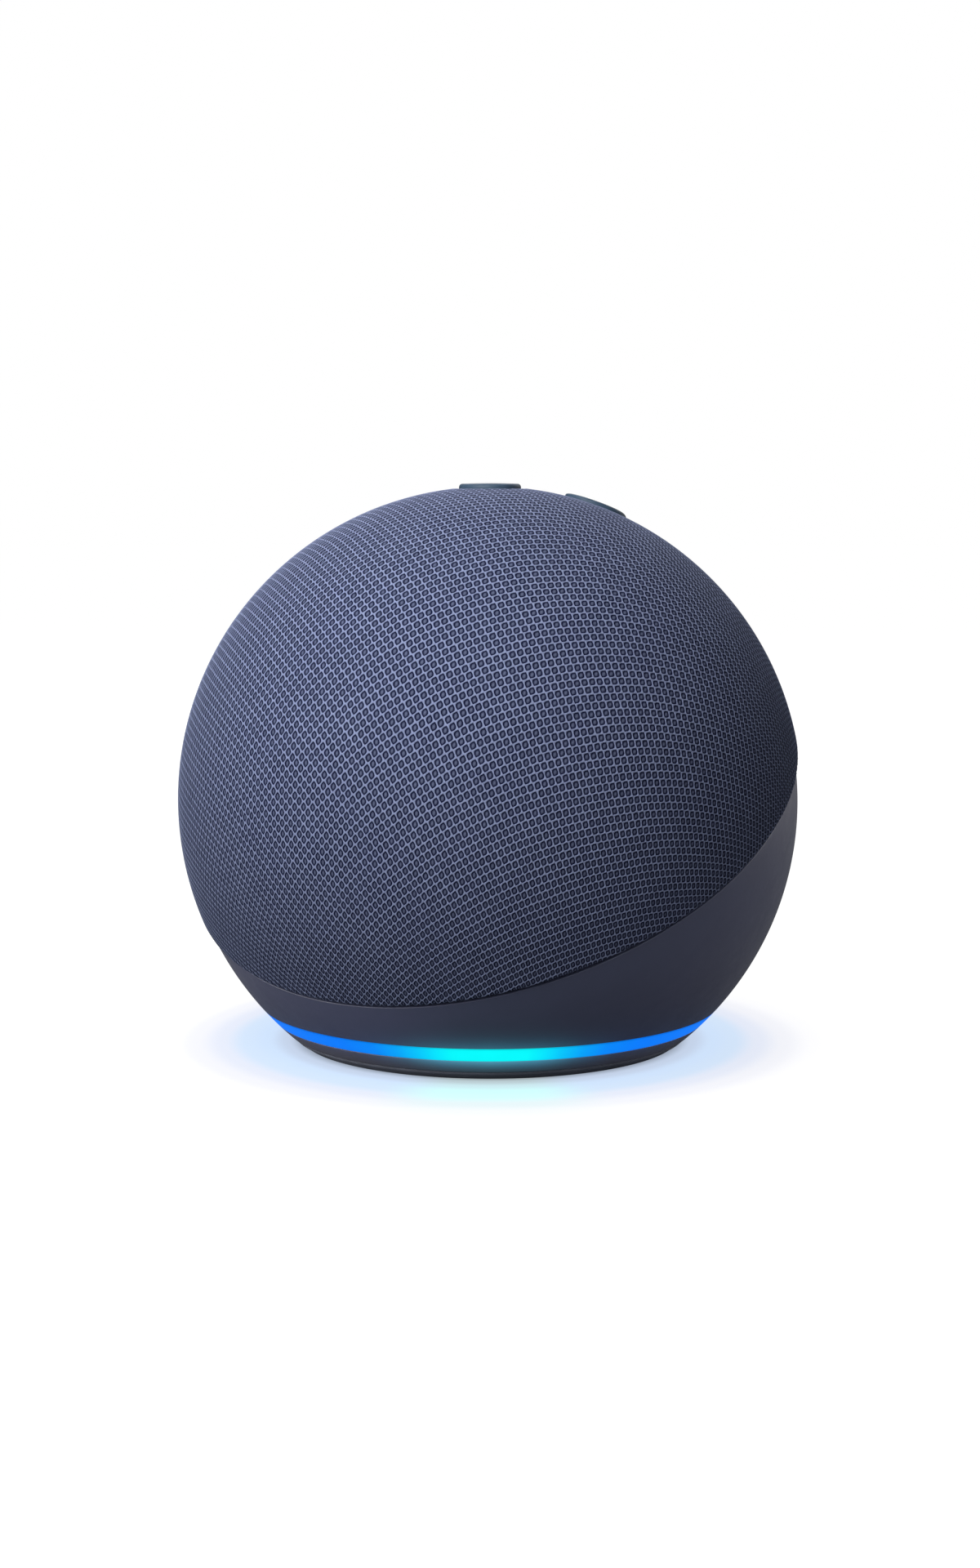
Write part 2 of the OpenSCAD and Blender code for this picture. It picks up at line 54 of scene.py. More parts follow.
# ------------------------------------------------------------------ mesh code
def build_mesh(name, verts, faces, material=None, smooth=True, floats=None, normals=None, face_mat=None):
    """One object from verts (mm) and a list of index arrays (n,3) or (n,4)."""
    me = bpy.data.meshes.new(name)
    verts = np.asarray(verts, np.float64) * MM
    me.vertices.add(len(verts))
    me.vertices.foreach_set("co", verts.astype(np.float32).ravel())
    faces = [np.asarray(f, np.int32) for f in faces if len(f)]
    loops = np.concatenate([f.ravel() for f in faces])
    total = np.concatenate([np.full(len(f), f.shape[1], np.int32) for f in faces])
    start = np.concatenate([[0], np.cumsum(total)[:-1]]).astype(np.int32)
    me.loops.add(len(loops))
    me.loops.foreach_set("vertex_index", loops)
    me.polygons.add(len(total))
    me.polygons.foreach_set("loop_start", start)
    me.polygons.foreach_set("use_smooth", np.full(len(total), bool(smooth)))
    if face_mat is not None:
        me.polygons.foreach_set("material_index", np.asarray(face_mat, np.int32))
    me.update(calc_edges=True)
    me.validate()
    for key, data in (floats or {}).items():
        data = np.asarray(data, np.float32)
        if data.ndim == 2:
            at = me.attributes.new(key, "FLOAT_VECTOR", "POINT")
            at.data.foreach_set("vector", data.ravel())
        else:
            at = me.attributes.new(key, "FLOAT", "POINT")
            at.data.foreach_set("value", data)
    if normals is not None:
        me.normals_split_custom_set_from_vertices(np.asarray(normals, np.float32))
    ob = bpy.data.objects.new(name, me)
    scene.collection.objects.link(ob)
    for m in (material if isinstance(material, (list, tuple)) else [material]):
        if m is not None:
            me.materials.append(m)
    return ob


def loft(rings, closed=True):
    """Quads between consecutive rings of equal length."""
    n = len(rings[0])
    out = []
    for a, b in zip(rings[:-1], rings[1:]):
        a, b = np.asarray(a), np.asarray(b)
        if closed:
            out.append(np.stack([a, np.roll(a, -1), np.roll(b, -1), b], 1))
        else:
            out.append(np.stack([a[:-1], a[1:], b[1:], b[:-1]], 1))
    return np.concatenate(out)


def lathe(name, profile, material, segs=192, close=False, floats=None, centre=(0.0, 0.0)):
    """A turned piece about the vertical axis: profile is (radius, z) points in mm, outside first."""
    prof = np.asarray(profile, float)
    a = np.linspace(0, 2 * math.pi, segs, endpoint=False)
    v = np.concatenate([np.stack([centre[0] + r * np.sin(a), centre[1] - r * np.cos(a), np.full(segs, z)], 1) for r, z in prof])
    rings = [np.arange(segs) + i * segs for i in range(len(prof))]
    if close:
        rings = rings + [rings[0]]
    return build_mesh(name, v, [loft(rings)[:, ::-1]], material, floats=floats)


def hash01(*ints):
    """The same value in 0..1 for the same whole numbers, on every run."""
    h = np.zeros_like(np.asarray(ints[0], np.int64)) + 1013
    for k, v in enumerate(ints):
        h = (h * 73856093) ^ (np.asarray(v, np.int64) * (19349663 + 83492791 * k))
        h = (h ^ (h >> 13)) * 1274126177 & 0x7FFFFFFF
    return (h % 100003) / 100003.0


# ------------------------------------------------------------------ materials
def lin(r, g, b):
    f = lambda c: (c / 255 / 12.92) if c / 255 <= 0.04045 else ((c / 255 + 0.055) / 1.055) ** 2.4
    return (f(r), f(g), f(b), 1.0)


class Mat:
    """A Principled material with small helpers for its node tree."""

    def __init__(self, name, base=(0.5, 0.5, 0.5, 1), rough=0.5, metal=0.0, spec=0.5, sheen=0.0, sheen_rough=0.5, coat=0.0, coat_rough=0.1, aniso=0.0, ior=1.45):
        self.m = bpy.data.materials.new(name)
        self.m.use_nodes = True
        self.nt = self.m.node_tree
        self.nt.nodes.clear()
        self.out = self.nt.nodes.new("ShaderNodeOutputMaterial")
        self.p = self.nt.nodes.new("ShaderNodeBsdfPrincipled")
        self.nt.links.new(self.p.outputs[0], self.out.inputs[0])
        s = self.p.inputs
        s["Base Color"].default_value = base
        s["Roughness"].default_value = rough
        s["Metallic"].default_value = metal
        s["Specular IOR Level"].default_value = spec
        s["IOR"].default_value = ior
        s["Sheen Weight"].default_value = sheen
        s["Sheen Roughness"].default_value = sheen_rough
        s["Coat Weight"].default_value = coat
        s["Coat Roughness"].default_value = coat_rough
        s["Anisotropic"].default_value = aniso
        self._obj = None

    def node(self, kind, **kw):
        n = self.nt.nodes.new(kind)
        for k, v in kw.items():
            setattr(n, k, v)
        return n

    def link(self, a, b):
        self.nt.links.new(a, b)

    def obj(self):
        if self._obj is None:
            self._obj = self.node("ShaderNodeTexCoord").outputs["Object"]
        return self._obj

    def math(self, op, a, b=None, c=None, clamp=False):
        n = self.node("ShaderNodeMath", operation=op, use_clamp=clamp)
        for i, x in enumerate((a, b, c)):
            if x is None:
                continue
            if isinstance(x, (int, float)):
                n.inputs[i].default_value = float(x)
            else:
                self.link(x, n.inputs[i])
        return n.outputs[0]

    def noise(self, scale, detail=3.0, rough=0.55, vec=None, stretch=None, distortion=0.0):
        n = self.node("ShaderNodeTexNoise")
        n.inputs["Scale"].default_value = scale
        n.inputs["Detail"].default_value = detail
        n.inputs["Roughness"].default_value = rough
        n.inputs["Distortion"].default_value = distortion
        v = vec if vec is not None else self.obj()
        if stretch is not None:
            mp = self.node("ShaderNodeMapping")
            mp.inputs["Scale"].default_value = stretch
            self.link(v, mp.inputs["Vector"])
            v = mp.outputs[0]
        self.link(v, n.inputs["Vector"])
        return n.outputs["Fac"]

    def voronoi(self, scale, feature="F1", stretch=None, out="Distance", randomness=1.0):
        n = self.node("ShaderNodeTexVoronoi", feature=feature)
        n.inputs["Scale"].default_value = scale
        n.inputs["Randomness"].default_value = randomness
        v = self.obj()
        if stretch is not None:
            mp = self.node("ShaderNodeMapping")
            mp.inputs["Scale"].default_value = stretch
            self.link(v, mp.inputs["Vector"])
            v = mp.outputs[0]
        self.link(v, n.inputs["Vector"])
        return n.outputs[out]

    def ramp(self, fac, stops, interp="LINEAR"):
        n = self.node("ShaderNodeValToRGB")
        n.color_ramp.interpolation = interp
        el = n.color_ramp.elements
        while len(el) < len(stops):
            el.new(0.5)
        for e, (pos, col) in zip(el, stops):
            e.position = pos
            e.color = col if hasattr(col, "__len__") else (col, col, col, 1)
        self.link(fac, n.inputs[0])
        return n.outputs[0]

    def mix(self, fac, a, b, blend="MIX"):
        n = self.node("ShaderNodeMix", data_type="RGBA", blend_type=blend)
        for i, x in ((0, fac), (6, a), (7, b)):
            if hasattr(x, "is_linked") or hasattr(x, "links"):
                self.link(x, n.inputs[i])
            elif i == 0:
                n.inputs[0].default_value = float(x)
            else:
                n.inputs[i].default_value = x
        return n.outputs[2]

    def bump(self, height, strength=0.3, distance=0.0001):
        n = self.node("ShaderNodeBump")
        n.inputs["Strength"].default_value = strength
        n.inputs["Distance"].default_value = distance
        self.link(height, n.inputs["Height"])
        if self.p.inputs["Normal"].is_linked:
            self.link(self.p.inputs["Normal"].links[0].from_socket, n.inputs["Normal"])
        self.link(n.outputs[0], self.p.inputs["Normal"])

    def base(self, sock):
        self.link(sock, self.p.inputs["Base Color"])

    def rough(self, sock):
        self.link(sock, self.p.inputs["Roughness"])

    def attr(self, name, out="Fac"):
        n = self.node("ShaderNodeAttribute", attribute_type="GEOMETRY", attribute_name=name)
        return n.outputs[out]


def tone(c, k):
    return (min(1, c[0] * k), min(1, c[1] * k), min(1, c[2] * k), 1.0)


def moulded(name, base, rough=0.5, grain=5200, depth=0.00003, vary=0.10, spec=0.45, strength=0.25, coat=0.0):
    """Moulded plastic: cloudy colour, a fine spark-eroded grain, and slight wear in the sheen."""
    m = Mat(name, base, rough, spec=spec, coat=coat)
    cloud = m.noise(90, 4, 0.6)
    fine = m.noise(grain, 2, 0.6)
    both = m.math("ADD", m.math("MULTIPLY", cloud, 0.75), m.math("MULTIPLY", fine, 0.25))
    m.base(m.ramp(both, [(0.3, tone(base, 1 - vary)), (0.7, tone(base, 1 + vary))]))
    m.rough(m.ramp(m.noise(260, 5, 0.65), [(0.3, max(0.05, rough - 0.06)), (0.72, min(1, rough + 0.07))]))
    m.bump(fine, strength, depth)
    return m


def metal(name, base, rough=0.3, brushed=None, vary=0.12, spots=0.0):
    m = Mat(name, base, rough, metal=1.0)
    n1 = m.noise(140, 4, 0.6, stretch=brushed)
    n2 = m.noise(1800, 3, 0.7, stretch=brushed)
    both = m.math("ADD", m.math("MULTIPLY", n1, 0.6), m.math("MULTIPLY", n2, 0.4))
    m.base(m.ramp(both, [(0.3, tone(base, 1 - vary)), (0.7, tone(base, 1 + vary))]))
    m.rough(m.ramp(n2, [(0.25, max(0.08, rough - 0.1)), (0.75, min(1, rough + 0.14))]))
    m.bump(n2, 0.12, 0.00002)
    return m.m


def position_z_az(m):
    """Object height in mm, and the angle in degrees from the ring's cyan part."""
    sep = m.node("ShaderNodeSeparateXYZ")
    m.link(m.obj(), sep.inputs[0])
    az = m.math("ARCTAN2", sep.outputs[0], m.math("MULTIPLY", sep.outputs[1], -1.0))
    d = m.math("SUBTRACT", az, CYAN_AZ)
    d = m.math("ARCCOSINE", m.math("COSINE", d))
    return m.math("MULTIPLY", sep.outputs[2], 1000.0), m.math("MULTIPLY", d, 180 / math.pi)


def painted_ring_glow(m, level=1.0):
    """Painted glow: an emission on the plastic next to the ring, standing in for the light of the ring's cyan part
    falling on it.
    """
    z, d = position_z_az(m)
    above = m.math("MULTIPLY", m.math("MAXIMUM", m.math("SUBTRACT", z, RING_Z1), 0.0), 1 / 1.5)
    below = m.math("MULTIPLY", m.math("MAXIMUM", m.math("SUBTRACT", RING_Z0, z), 0.0), 1 / 1.1)
    far = m.math("ADD", above, below)
    fall = m.math("EXPONENT", m.math("MULTIPLY", m.math("POWER", far, 1.3), -1.0))
    side = m.ramp(m.math("MULTIPLY", d, 1 / 60), [(0.0, 1.0), (0.2, 0.8), (0.36, 0.34), (0.55, 0.10), (1.0, 0.05)])
    k = m.math("MULTIPLY", fall, side)
    tint = m.ramp(m.math("MULTIPLY", d, 1 / 60), [(0.0, (0.10, 0.68, 1.0, 1)), (0.3, (0.10, 0.62, 1.0, 1)), (0.6, (0.06, 0.30, 1.0, 1))])
    # painted glow: cyan emission that fades with distance from the ring's edges and with angle away from its cyan part
    m.link(m.mix(1.0, tint, k, "MULTIPLY"), m.p.inputs["Emission Color"])
    m.p.inputs["Emission Strength"].default_value = 0.115 * level


NAVY = lin(52, 56, 77)


def shell_material():
    m = moulded("shell_plastic", NAVY, rough=0.46, grain=5600, vary=0.07, spec=0.42, strength=0.22)
    # painted glow of the ring's light on the shell next to it
    painted_ring_glow(m, 1.3)
    return m.m


def trim_material():
    m = moulded("trim_plastic", lin(72, 70, 79), rough=0.44, grain=5600, vary=0.07, spec=0.42, strength=0.22)
    # painted glow of the ring's light on the trim next to it, stronger than on the shell
    painted_ring_glow(m, 3.4)
    return m.m


def ring_material():
    m = Mat("ring_light", (0.0, 0.004, 0.012, 1), 0.4, spec=0.08)
    z, d = position_z_az(m)
    c = m.ramp(m.math("MULTIPLY", d, 1 / 90),
               [(0.0, lin(4, 253, 255)), (0.10, lin(4, 251, 255)), (0.143, lin(3, 230, 255)), (0.19, lin(4, 200, 253)),
                (0.25, lin(4, 166, 252)), (0.32, lin(4, 137, 252)), (0.43, lin(4, 124, 254)), (1.0, lin(3, 118, 252))])
    # a little brighter along the middle of the strip, dimmer at its two edges, and faintly uneven
    mid = m.math("SUBTRACT", 1.0, m.math("MULTIPLY", m.math("ABSOLUTE", m.math("SUBTRACT", z, (RING_Z0 + RING_Z1) / 2)), 1 / 1.15))
    prof = m.ramp(mid, [(0.0, 0.74), (0.22, 0.98), (1.0, 1.0)])
    uneven = m.ramp(m.noise(420, 2, 0.5), [(0.3, 0.97), (0.7, 1.0)])
    m.link(m.mix(1.0, m.mix(1.0, c, prof, "MULTIPLY"), uneven, "MULTIPLY"), m.p.inputs["Emission Color"])
    m.p.inputs["Emission Strength"].default_value = 1.0
    return m.m


def button_material(name="button_plastic"):
    m = Mat(name, lin(66, 84, 104), 0.50, spec=0.34)
    ink = m.attr("icon")
    cloud = m.noise(160, 4, 0.6)
    fine = m.noise(6400, 2, 0.6)
    body = m.ramp(cloud, [(0.3, lin(58, 76, 96)), (0.7, lin(68, 88, 108))])
    m.base(m.mix(m.math("MULTIPLY", ink, 0.9, clamp=True), body, lin(178, 188, 202)))
    m.rough(m.ramp(m.noise(380, 4, 0.6), [(0.3, 0.44), (0.7, 0.56)]))
    m.bump(fine, 0.2, 0.00003)
    return m.m


def rubber(name, base, rough=0.75):
    m = Mat(name, base, rough, spec=0.3)
    n = m.noise(1500, 5, 0.65)
    m.base(m.ramp(m.noise(220, 4, 0.6), [(0.3, tone(base, 0.82)), (0.7, tone(base, 1.2))]))
    m.rough(m.ramp(n, [(0.3, rough - 0.08), (0.7, min(1, rough + 0.1))]))
    m.bump(n, 0.35, 0.00005)
    return m.m


def board(name, mask, copper, traces=True):
    """A circuit board: solder mask over etched tracks, pads and vias."""
    m = Mat(name, mask, 0.38, spec=0.5, coat=0.25, coat_rough=0.25)
    lanes = m.voronoi(620, feature="DISTANCE_TO_EDGE", stretch=(1, 1, 1), randomness=0.85)
    fine = m.noise(2400, 2, 0.5)
    track = m.ramp(lanes, [(0.035, 1.0), (0.06, 0.0)])
    via = m.ramp(m.voronoi(950, feature="F1", randomness=0.9), [(0.10, 1.0), (0.15, 0.0)])
    ground = m.ramp(m.noise(210, 3, 0.5), [(0.46, tone(mask, 0.85)), (0.52, tone(mask, 1.25))])
    c = m.mix(m.math("MULTIPLY", track, 0.5), ground, tone(mask, 1.9))
    c = m.mix(via, c, copper)
    m.base(c)
    m.bump(m.math("ADD", track, m.math("MULTIPLY", fine, 0.3)), 0.3, 0.00004)
    m.rough(m.ramp(fine, [(0.3, 0.3), (0.7, 0.46)]))
    return m.m


def paper_cone():
    m = Mat("cone_paper", (0.030, 0.028, 0.027, 1), 0.8, spec=0.25, sheen=0.15)
    fib = m.noise(1400, 6, 0.7, distortion=1.2)
    wave = m.node("ShaderNodeTexWave", wave_type="RINGS", rings_direction="Y")
    wave.inputs["Scale"].default_value = 130
    wave.inputs["Distortion"].default_value = 0.6
    m.link(m.obj(), wave.inputs["Vector"])
    m.base(m.ramp(fib, [(0.3, (0.018, 0.017, 0.016, 1)), (0.75, (0.055, 0.050, 0.047, 1))]))
    m.bump(m.math("ADD", fib, m.math("MULTIPLY", wave.outputs["Fac"], 0.4)), 0.5, 0.00008)
    return m.m


def windings():
    m = Mat("copper_wire", (0.72, 0.30, 0.12, 1), 0.28, metal=1.0)
    wave = m.node("ShaderNodeTexWave", wave_type="BANDS", bands_direction="Y")
    wave.inputs["Scale"].default_value = 1300
    wave.inputs["Distortion"].default_value = 0.15
    m.link(m.obj(), wave.inputs["Vector"])
    m.base(m.ramp(wave.outputs["Fac"], [(0.1, (0.25, 0.08, 0.03, 1)), (0.6, (0.80, 0.36, 0.15, 1))]))
    m.bump(wave.outputs["Fac"], 0.7, 0.00008)
    return m.m


def woven(name, base):
    m = Mat(name, base, 0.85, spec=0.2, sheen=0.2)
    wv = []
    for axis in ("X", "Z"):
        w = m.node("ShaderNodeTexWave", wave_type="BANDS", bands_direction=axis)
        w.inputs["Scale"].default_value = 900
        w.inputs["Distortion"].default_value = 0.3
        m.link(m.obj(), w.inputs["Vector"])
        wv.append(w.outputs["Fac"])
    x = m.math("MULTIPLY", wv[0], wv[1])
    m.base(m.ramp(x, [(0.05, tone(base, 0.55)), (0.6, tone(base, 1.15))]))
    m.bump(x, 0.6, 0.0001)
    return m.m


def lead_wire(name, base):
    m = Mat(name, base, 0.4, spec=0.5, coat=0.2)
    n = m.noise(700, 4, 0.6)
    m.base(m.ramp(n, [(0.3, tone(base, 0.8)), (0.7, tone(base, 1.15))]))
    m.bump(m.noise(3000, 2, 0.5), 0.25, 0.00003)
    return m.m


def led_lens():
    m = Mat("led_white", (0.80, 0.80, 0.74, 1), 0.35, spec=0.5, coat=0.4)
    d = m.noise(900, 3, 0.6)
    m.base(m.ramp(d, [(0.35, (0.74, 0.72, 0.52, 1)), (0.6, (0.85, 0.85, 0.82, 1))]))
    m.link(m.ramp(d, [(0.35, (0.2, 0.5, 1.0, 1)), (0.6, (0.35, 0.75, 1.0, 1))]), m.p.inputs["Emission Color"])
    m.p.inputs["Emission Strength"].default_value = 0.5
    m.bump(d, 0.2, 0.00004)
    return m.m


def film(name, base):
    m = Mat(name, base, 0.32, spec=0.6, coat=0.5, coat_rough=0.15)
    lane = m.node("ShaderNodeTexWave", wave_type="BANDS", bands_direction="X")
    lane.inputs["Scale"].default_value = 420
    m.link(m.obj(), lane.inputs["Vector"])
    m.base(m.mix(0.35, m.ramp(lane.outputs["Fac"], [(0.55, base), (0.62, tone(base, 0.6))]), m.ramp(m.noise(300, 3, 0.6), [(0.3, tone(base, 0.8)), (0.7, tone(base, 1.2))])))
    m.bump(lane.outputs["Fac"], 0.25, 0.00003)
    return m.m


SHELL = shell_material()
TRIM = trim_material()
RING = ring_material()
BUTTON = button_material()
FOOT = rubber("foot_rubber", (0.056, 0.062, 0.082, 1), 0.72)
BLACK = moulded("black_plastic", (0.022, 0.023, 0.026, 1), 0.5, vary=0.14).m
WHITE = moulded("white_plastic", (0.62, 0.63, 0.64, 1), 0.45, vary=0.06).m
IVORY = moulded("ivory_plastic", (0.66, 0.62, 0.52, 1), 0.42, vary=0.06).m
RUBBER = rubber("black_rubber", (0.016, 0.016, 0.017, 1), 0.7)
STEEL = metal("screw_steel", (0.50, 0.51, 0.53, 1), 0.3)
PLATED = metal("plated_steel", (0.55, 0.54, 0.50, 1), 0.34, brushed=(1, 6, 1))
GOLD = metal("gold_metal", (0.83, 0.62, 0.28, 1), 0.28)
BASKET = moulded("basket_paint", (0.030, 0.031, 0.033, 1), 0.55, grain=2600, depth=0.00006, vary=0.15, strength=0.5).m
FERRITE = rubber("ferrite", (0.045, 0.044, 0.043, 1), 0.6)
COPPER = windings()
FOIL = metal("copper_foil", (0.72, 0.38, 0.22, 1), 0.32)
SPIDER = woven("spider_cloth", (0.45, 0.30, 0.12, 1))
CONE = paper_cone()
BOARD = board("circuit_board", (0.010, 0.075, 0.042, 1), (0.55, 0.42, 0.16, 1))
WBOARD = board("white_board", (0.62, 0.64, 0.64, 1), (0.70, 0.55, 0.25, 1))
CHIP = moulded("chip_black", (0.016, 0.016, 0.018, 1), 0.55, grain=3200, vary=0.2, strength=0.4).m
CAN = metal("aluminium_can", (0.72, 0.73, 0.75, 1), 0.25, brushed=(1, 1, 9))
CAST = metal("cast_aluminium", (0.42, 0.43, 0.45, 1), 0.5, vary=0.2)
PAD = rubber("pad_grey", (0.30, 0.31, 0.34, 1), 0.8)
LED = led_lens()
POLY = film("polyimide", (0.55, 0.22, 0.03, 1))
RED = lead_wire("red_wire", (0.45, 0.02, 0.015, 1))

FINISH = {
    "front_grille": BLACK, "inlet_bezel": SHELL, "bottom_cover": BLACK, "inner_chassis": BLACK, "base_screws": STEEL,
    "button_carrier": WHITE, "top_board": BOARD, "tact_switches": CHIP, "microphones": GOLD, "top_board_screws": STEEL,
    "top_flex_cable": POLY, "enclosure_baffle": BLACK, "enclosure_can": BLACK, "enclosure_seal": RUBBER,
    "enclosure_screws": STEEL, "lead_grommet": RUBBER, "driver_basket": BASKET, "driver_top_plate": PLATED,
    "driver_magnet": FERRITE, "driver_yoke": PLATED, "voice_coil": COPPER, "spider": SPIDER, "cone": CONE,
    "dust_cap": CONE, "surround": RUBBER, "driver_gasket": RUBBER, "driver_terminals": GOLD, "speaker_leads": RED,
    "main_board": BOARD, "processor_chip": CHIP, "memory_chips": CHIP, "wifi_shield": PLATED,
    "power_capacitors": CAN, "power_inductors": FERRITE, "board_connectors": IVORY, "thermal_pad": PAD,
    "heat_sink": CAST, "heat_sink_screws": STEEL, "main_board_screws": STEEL, "power_board": BOARD, "dc_jack": BLACK,
    "dc_jack_pin": GOLD, "power_leads": RED, "led_board": WBOARD, "leds": LED, "led_flex_cable": POLY,
    "wifi_antennas": FOIL, "volume_up_plunger": IVORY, "volume_down_plunger": IVORY, "action_plunger": IVORY,
    "mute_plunger": IVORY, "rear_housing": SHELL, "light_ring": RING, "base_trim": TRIM, "rubber_foot": FOOT,
    "fabric_cover": BLACK, "volume_up_button": BUTTON, "volume_down_button": BUTTON, "action_button": BUTTON,
    "mute_button": BUTTON,
}
for n, ob in NODES.items():
    ob.data.materials.clear()
    ob.data.materials.append(FINISH.get(n, BLACK))


# ------------------------------------------------------------------ knitted cover
KNIT_TILT = math.radians(30.09)
KPOLE = np.array([0.0, -math.sin(KNIT_TILT), math.cos(KNIT_TILT)])
KX = np.array([1.0, 0.0, 0.0])
KY = np.array([0.0, math.cos(KNIT_TILT), math.sin(KNIT_TILT)])
R1 = np.array([0.979, -0.809])              # knit lattice in the flat cloth, mm
R2 = np.array([0.026, -1.653])
BASE_R = 49.87                              # ground of the knit, mm from the ball's centre
CREST = 0.13                                # how high the face yarns stand on it
CURL = 0.42                                 # radius of the turned edge
_th = np.linspace(0.0, 1.9, 6001)
_rho = 50.0 * (_th + 0.0066 * _th ** 3 + 0.0035 * _th ** 5)


def flat_to_dir(uv):
    """Direction on the ball of a point of the flat cloth (mm)."""
    r = np.hypot(uv[:, 0], uv[:, 1])
    th = np.interp(r, _rho, _th)
    a = np.arctan2(uv[:, 1], uv[:, 0])
    s = np.sin(th)
    return (s * np.cos(a))[:, None] * KX + (s * np.sin(a))[:, None] * KY + np.cos(th)[:, None] * KPOLE


def wrap(d, h, base_r=BASE_R, curl=CURL, stand=CREST):
    """Lays points on the ball, turned inwards at the seam and at the button holes.
    d: directions, h: height above the ground. Gives positions (mm) and how far round the turn each point is."""
    phi = np.arccos(np.clip(d @ SEAM_N, -1, 1))
    phi_e = math.acos((SEAM_D + SEAM_GAP / 2) / COVER_R)
    phi_c = phi_e - (curl + stand) / base_r
    e = d - np.cos(phi)[:, None] * SEAM_N
    e /= np.maximum(np.linalg.norm(e, axis=1), 1e-9)[:, None]
    psi = (phi - phi_c) * base_r / curl
    turned = psi > 0
    ps = np.clip(psi, 0, 2.4)
    n0 = math.cos(phi_c) * SEAM_N + math.sin(phi_c) * e
    t0 = -math.sin(phi_c) * SEAM_N + math.cos(phi_c) * e
    nn = np.where(turned[:, None], np.cos(ps)[:, None] * n0 + np.sin(ps)[:, None] * t0, d)
    pos = np.where(turned[:, None], (base_r - curl) * n0 + curl * nn, base_r * d)
    far = np.where(turned, psi, 0.0)
    for p in BTN.values():
        pc = np.array([p[0], p[1]])
        q = pos[:, :2] - pc
        ql = np.maximum(np.linalg.norm(q, axis=1), 1e-6)
        edge = BTN_R + BTN_GAP + curl + stand
        near = (ql < edge) & (pos[:, 2] > 20)
        if not near.any():
            continue
        ang = (edge - ql[near]) / curl
        u = q[near] / ql[near][:, None]
        start = pc + u * edge
        z = np.sqrt(np.maximum(base_r ** 2 - (start ** 2).sum(1), 1.0))
        pcn = np.concatenate([start, z[:, None]], 1)
        n0b = pcn / base_r
        hd = np.concatenate([-u, np.zeros((len(u), 1))], 1)
        t0b = hd - (hd * n0b).sum(1)[:, None] * n0b
        t0b /= np.linalg.norm(t0b, axis=1)[:, None]
        a = np.clip(ang, 0, 2.4)
        nb = np.cos(a)[:, None] * n0b + np.sin(a)[:, None] * t0b
        pos[near] = pcn - curl * n0b + curl * nb
        nn[near] = nb
        far[near] = np.maximum(far[near], ang)
    return pos + h[:, None] * nn + BALL, far, nn


def smooth_noise(p, cell, seed):
    """Soft value noise on 2-D points."""
    g = p / cell
    i = np.floor(g).astype(np.int64)
    f = g - i
    f = f * f * (3 - 2 * f)
    v = [hash01(i[:, 0] + a, i[:, 1] + b, np.full(len(p), seed)) for a in (0, 1) for b in (0, 1)]
    return ((v[0] * (1 - f[:, 1]) + v[1] * f[:, 1]) * (1 - f[:, 0]) + (v[2] * (1 - f[:, 1]) + v[3] * f[:, 1]) * f[:, 0]) * 2 - 1


def circumcentre(a, b):
    """Of the triangle 0, a, b."""
    d = 2 * (a[0] * b[1] - a[1] * b[0])
    return np.array([(b[1] * (a @ a) - a[1] * (b @ b)) / d, (a[0] * (b @ b) - b[0] * (a @ a)) / d])


